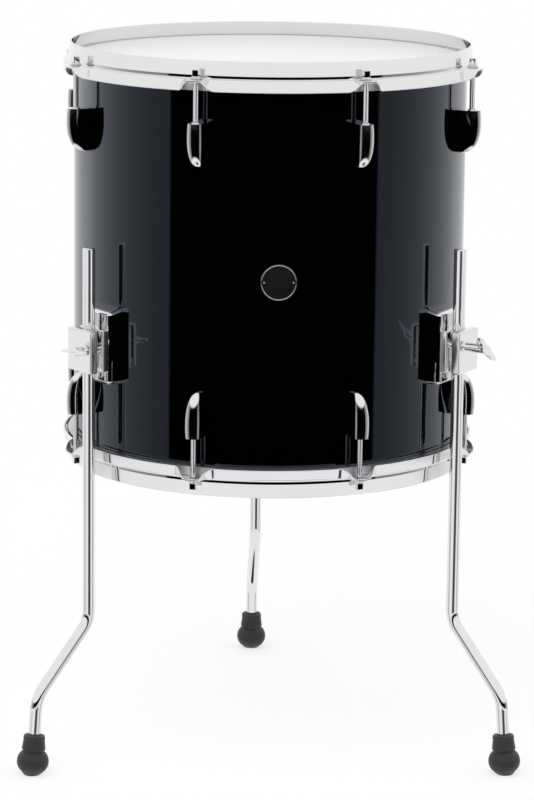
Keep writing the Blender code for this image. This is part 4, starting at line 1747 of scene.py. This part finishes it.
@dataclass
class RubberFoot:
    """The moulded foot: a lipped neck over a round bulb with a small flat sole."""

    socket: float
    floor: float
    height: float = 0.0410
    top: float = 0.0110
    neck: float = 0.0120
    neck_height: float = 0.0280
    bulb: float = 0.0164
    bulb_height: float = 0.0135
    sole: float = 0.0085
    under: float = -0.0006
    fullness: float = 0.8
    arc_start: float = 52.0
    arc_step: float = 8.5
    arc_steps: int = 12
    sides: int = 64
    lip_low: float = 0.0030
    lip_end: float = 0.0044
    neck_round: float = 0.0100

    def form(self, place: Matrix) -> Form:
        """Return the foot.

        Args:
            place: Its frame, with the leg's line as Z and the sole's middle as the origin.

        Returns:
            The form, flattened at height 0.
        """
        corners = [
            (self.socket, self.height, 0.0),
            (self.top - 0.0004, self.height, 0.0012),
            (self.top + 0.0002, self.height - self.lip_low, 0.0008),
            (self.top - 0.0001, self.height - self.lip_end, 0.0008),
            (self.neck, self.neck_height, self.neck_round),
            (self.bulb, self.bulb_height, 0.0),
        ]
        profile = rounded_outline(corners)[:-1]
        for step in range(self.arc_steps + 1):
            angle = math.radians(self.arc_start - self.arc_step * step)
            width = self.bulb * math.cos(angle) ** self.fullness
            profile.append((width, self.bulb_height * (1 + math.sin(angle))))
        profile += [(self.sole, self.under), (0.0, self.under), (0.0, self.floor), (self.socket, self.floor)]
        form = Form().turn(profile, self.sides, place)
        return form.bend(lambda point: Vector((point.x, point.y, max(0.0, point.z))))


# Studio


@dataclass(frozen=True)
class PhotoCamera:
    """The photograph's view, measured from its own ellipses and edges.

    Attributes:
        distance: Level distance from the drum's axis.
        height: Height over the floor.
        pitch: How far it looks down.
        roll: Its roll.
        turn: Its direction from +Y.
        focal_pixels: Focal length in the photograph's pixels.
        long_side: The photograph's long side in pixels.
        sensor: The long side in millimetres.
        farthest: How far it sees.
    """

    distance: float = 3.52904
    height: float = 1.09525
    pitch: float = math.radians(11.84)
    roll: float = math.radians(0.65)
    turn: float = math.radians(2.93)
    focal_pixels: float = 3415.27
    long_side: float = 800.0
    sensor: float = 36.0
    farthest: float = 50.0

    def make(self, axis: Vector) -> None:
        """Make the camera and look through it.

        Args:
            axis: The drum's axis at height 0.
        """
        level = Vector((math.sin(self.turn), math.cos(self.turn), 0.0))
        ahead = level * math.cos(self.pitch) - Vector((0.0, 0.0, math.sin(self.pitch)))
        flat = Vector((math.cos(self.turn), -math.sin(self.turn), 0.0))
        rise = flat.cross(ahead)
        right = flat * math.cos(self.roll) + rise * math.sin(self.roll)
        up = rise * math.cos(self.roll) - flat * math.sin(self.roll)
        data = bpy.data.cameras.new("photo_camera")
        data.lens = self.focal_pixels * self.sensor / self.long_side
        data.sensor_width = self.sensor
        data.clip_end = self.farthest
        camera = bpy.data.objects.new("photo_camera", data)
        place = Matrix((right, up, -ahead)).transposed().to_4x4()
        place.translation = axis - level * self.distance + Vector((0.0, 0.0, self.height))
        camera.matrix_world = place
        bpy.context.scene.collection.objects.link(camera)
        bpy.context.scene.camera = camera


@dataclass(frozen=True)
class Studio:
    """A white surround with dark flags in front, a pale floor and a soft lamp overhead.

    The surround lights dull surfaces evenly. Mirrors and lacquer see it white, with a wide dark
    flag low in front of the drum, which keeps the front of the shell black, and below the flag a
    narrow dark gap and two grey flanks, which draw the stripes on the legs and rods. Directions
    are measured from -Y, and heights from the horizon.

    Attributes:
        axis: The drum's axis at height 0.
        floor_radius: Radius of the floor.
        floor_sides: Its sides.
        fill: Level of the surround for dull surfaces.
        white: Its level for the camera and for mirrors.
        flag: Level of the flag.
        flag_half_angle: Half the flag's width.
        border: Level of the surround just beside the flag, from which it rises to white.
        border_bend: How late it rises.
        border_half_angle: Where it is white.
        flag_low: The flag's lower edge.
        flag_high: The flag's upper edge.
        blur: Softness of the edges.
        gap: How much darker than white the narrow gap is.
        gap_half_angle: Half its width.
        gap_edges: The shares of that half width at which it starts and is full.
        gap_turn: Where its middle is, towards +X.
        gap_low: The lower edge of the gap and of the flanks.
        gap_high: Their upper edge.
        flank: How much darker than white the flanks are.
        flank_near: Their inner edge.
        flank_far: Their outer edge.
        flank_blur: Softness of those edges.
        gap_blur: Softness of the lower edge.
        lamp_watts: Power of the lamp.
        lamp_size: Its side.
        lamp_place: Its place from the drum's axis.
        lamp_aim: The height that it points at.
        shadow_share: The share of the floor's look that shadows act on.
        floor_colour: The floor's colour.
        floor_glow: Level of the rest of it.
    """

    axis: Vector
    floor_radius: float = 1.45
    floor_sides: int = 96
    fill: float = 0.88
    white: float = 1.0
    flag: float = 0.0
    flag_half_angle: float = math.radians(62.5)
    border: float = 0.25
    border_bend: float = 0.45
    border_half_angle: float = math.radians(135.0)
    flag_low: float = math.radians(-16.5)
    flag_high: float = math.radians(-4.0)
    blur: float = math.radians(1.2)
    gap: float = 0.93
    gap_half_angle: float = math.radians(24.0)
    gap_edges: tuple[float, float] = (1.3, 0.5)
    gap_turn: float = math.radians(11.0)
    gap_low: float = math.radians(-38.0)
    gap_high: float = math.radians(-21.5)
    flank: float = 0.42
    flank_near: float = math.radians(62.0)
    flank_far: float = math.radians(100.0)
    flank_blur: float = math.radians(9.6)
    gap_blur: float = math.radians(4.8)
    lamp_watts: float = 8.5
    lamp_size: float = 1.6
    lamp_place: Triple = (-0.5, -0.9, 2.2)
    lamp_aim: float = 0.5
    shadow_share: float = 0.35
    floor_colour: float = 0.98
    floor_glow: float = 1.05

    def make_world(self) -> None:
        """Make the surround."""
        world = bpy.data.worlds.new("surround")
        bpy.context.scene.world = world
        world.use_nodes = True
        world.node_tree.nodes.clear()
        work = NodeWork(world.node_tree)
        look = work.node("ShaderNodeTexCoord", output="Generated")
        across, along, height = work.parts(look, "X", "Y", "Z")
        level = (1 - height * height) ** 0.5
        front = along * -1.0 / level
        turned = across * math.sin(self.gap_turn) - along * math.cos(self.gap_turn)
        start, full = (math.cos(self.gap_half_angle * share) for share in self.gap_edges)
        narrow = (turned / level).ramp(start, full)
        flag_edge, blur = math.cos(self.flag_half_angle - self.blur), self.blur
        inside = front.ramp(math.cos(self.flag_half_angle + blur), flag_edge)
        beside = front.ramp(math.cos(self.border_half_angle), flag_edge) ** self.border_bend
        shade = inside * (self.border - self.flag) + beside * (self.white - self.border)
        above = height.ramp(math.sin(self.flag_low - blur), math.sin(self.flag_low + blur))
        below = 1 - height.ramp(math.sin(self.flag_high - blur), math.sin(self.flag_high + blur))
        soft = self.flank_blur
        near = 1 - front.ramp(math.cos(self.flank_near + soft), math.cos(self.flank_near))
        far = front.ramp(math.cos(self.flank_far), math.cos(self.flank_far - soft))
        tall = height.ramp(math.sin(self.gap_low), math.sin(self.gap_low + self.gap_blur))
        short = 1 - height.ramp(math.sin(self.gap_high - blur), math.sin(self.gap_high))
        stripes = narrow * self.gap + near * far * self.flank
        seen = self.white - shade * above * below - stripes * tall * short
        camera = work.node("ShaderNodeLightPath", output="Is Camera Ray")
        mirror = work.node("ShaderNodeLightPath", output="Is Glossy Ray")
        level_light = mirror * seen + (1 - mirror) * self.fill
        strength = camera * self.white + (1 - camera) * level_light
        white = {"Color": (1.0, 1.0, 1.0, 1.0), "Strength": strength}
        sky = work.node("ShaderNodeBackground", inputs=white)
        result = world.node_tree.nodes.new("ShaderNodeOutputWorld")
        work.feed(result, "Surface", sky)

    def make_floor(self) -> None:
        """Make the floor, which keeps a soft shadow. Mirrors see the surround through it."""
        material = bpy.data.materials.new("pale_floor")
        material.use_nodes = True
        material.node_tree.nodes.clear()
        work = NodeWork(material.node_tree)
        colour = (*(self.floor_colour,) * 3, 1.0)
        matt = work.node("ShaderNodeBsdfDiffuse", inputs={"Color": colour})
        glow = work.node("ShaderNodeEmission", inputs={"Strength": self.floor_glow})
        camera = work.node("ShaderNodeLightPath", output="Is Camera Ray")
        share = camera * (1 - self.shadow_share)
        mixed = work.node("ShaderNodeMixShader", inputs={0: share, 1: matt, 2: glow})
        work.feed(material.node_tree.nodes.new("ShaderNodeOutputMaterial"), "Surface", mixed)
        shape = bmesh.new()
        size = {"segments": self.floor_sides, "radius": self.floor_radius}
        bmesh.ops.create_circle(shape, cap_ends=True, **size)
        bmesh.ops.translate(shape, vec=self.axis, verts=shape.verts)
        mesh = bpy.data.meshes.new("floor")
        shape.to_mesh(mesh)
        shape.free()
        mesh.materials.append(material)
        floor = bpy.data.objects.new("floor", mesh)
        bpy.context.scene.collection.objects.link(floor)
        floor.visible_glossy = False

    def make_lamp(self) -> None:
        """Make the soft lamp, which mirrors don't see."""
        data = bpy.data.lights.new("overhead", "AREA")
        data.energy = self.lamp_watts
        data.size = self.lamp_size
        lamp = bpy.data.objects.new("overhead", data)
        lamp.location = self.axis + Vector(self.lamp_place)
        line = self.axis + Vector((0.0, 0.0, self.lamp_aim)) - lamp.location
        lamp.rotation_euler = line.to_track_quat("-Z", "Y").to_euler()
        lamp.visible_glossy = False
        bpy.context.scene.collection.objects.link(lamp)

    def make(self) -> None:
        """Make the surround, the floor and the lamp."""
        self.make_world()
        self.make_floor()
        self.make_lamp()


def dress_kept_nodes(frame: dict) -> None:
    """Give the CAD nodes that stay, all behind or inside other pieces, their finishes.
    """
    for name, node in frame["nodes"].items():
        finish = None
        if name.endswith("flesh_hoop"):
            finish = CHANNEL
        elif name.startswith("backing_plate"):
            finish = ZINC
        if finish is not None:
            node.data.materials.clear()
            node.data.materials.append(finish.material())


def main() -> None:
    """Build the drum's looks round the frame."""
    logging.basicConfig(level=logging.INFO, format="%(name)s %(message)s")
    for item in list(bpy.data.objects):
        bpy.data.objects.remove(item)
    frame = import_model()
    bpy.context.scene.view_settings.view_transform = "Standard"
    places = DrumPlaces.read(frame)
    PhotoCamera().make(places.axis)
    Studio(places.axis).make()
    shop = Workshop()
    Shell(places).make(shop)
    Heads(places).make(shop)
    Counterhoops(places).make(shop)
    Lugs(places).make(shop, RingOfCopies())
    TensionRods(places).make(shop)
    for side in Side:
        LegStation(places, side).make(shop)
    dress_kept_nodes(frame)
    LOG.info("%d pieces made", shop.made)


if __name__ == "__main__":
    main()
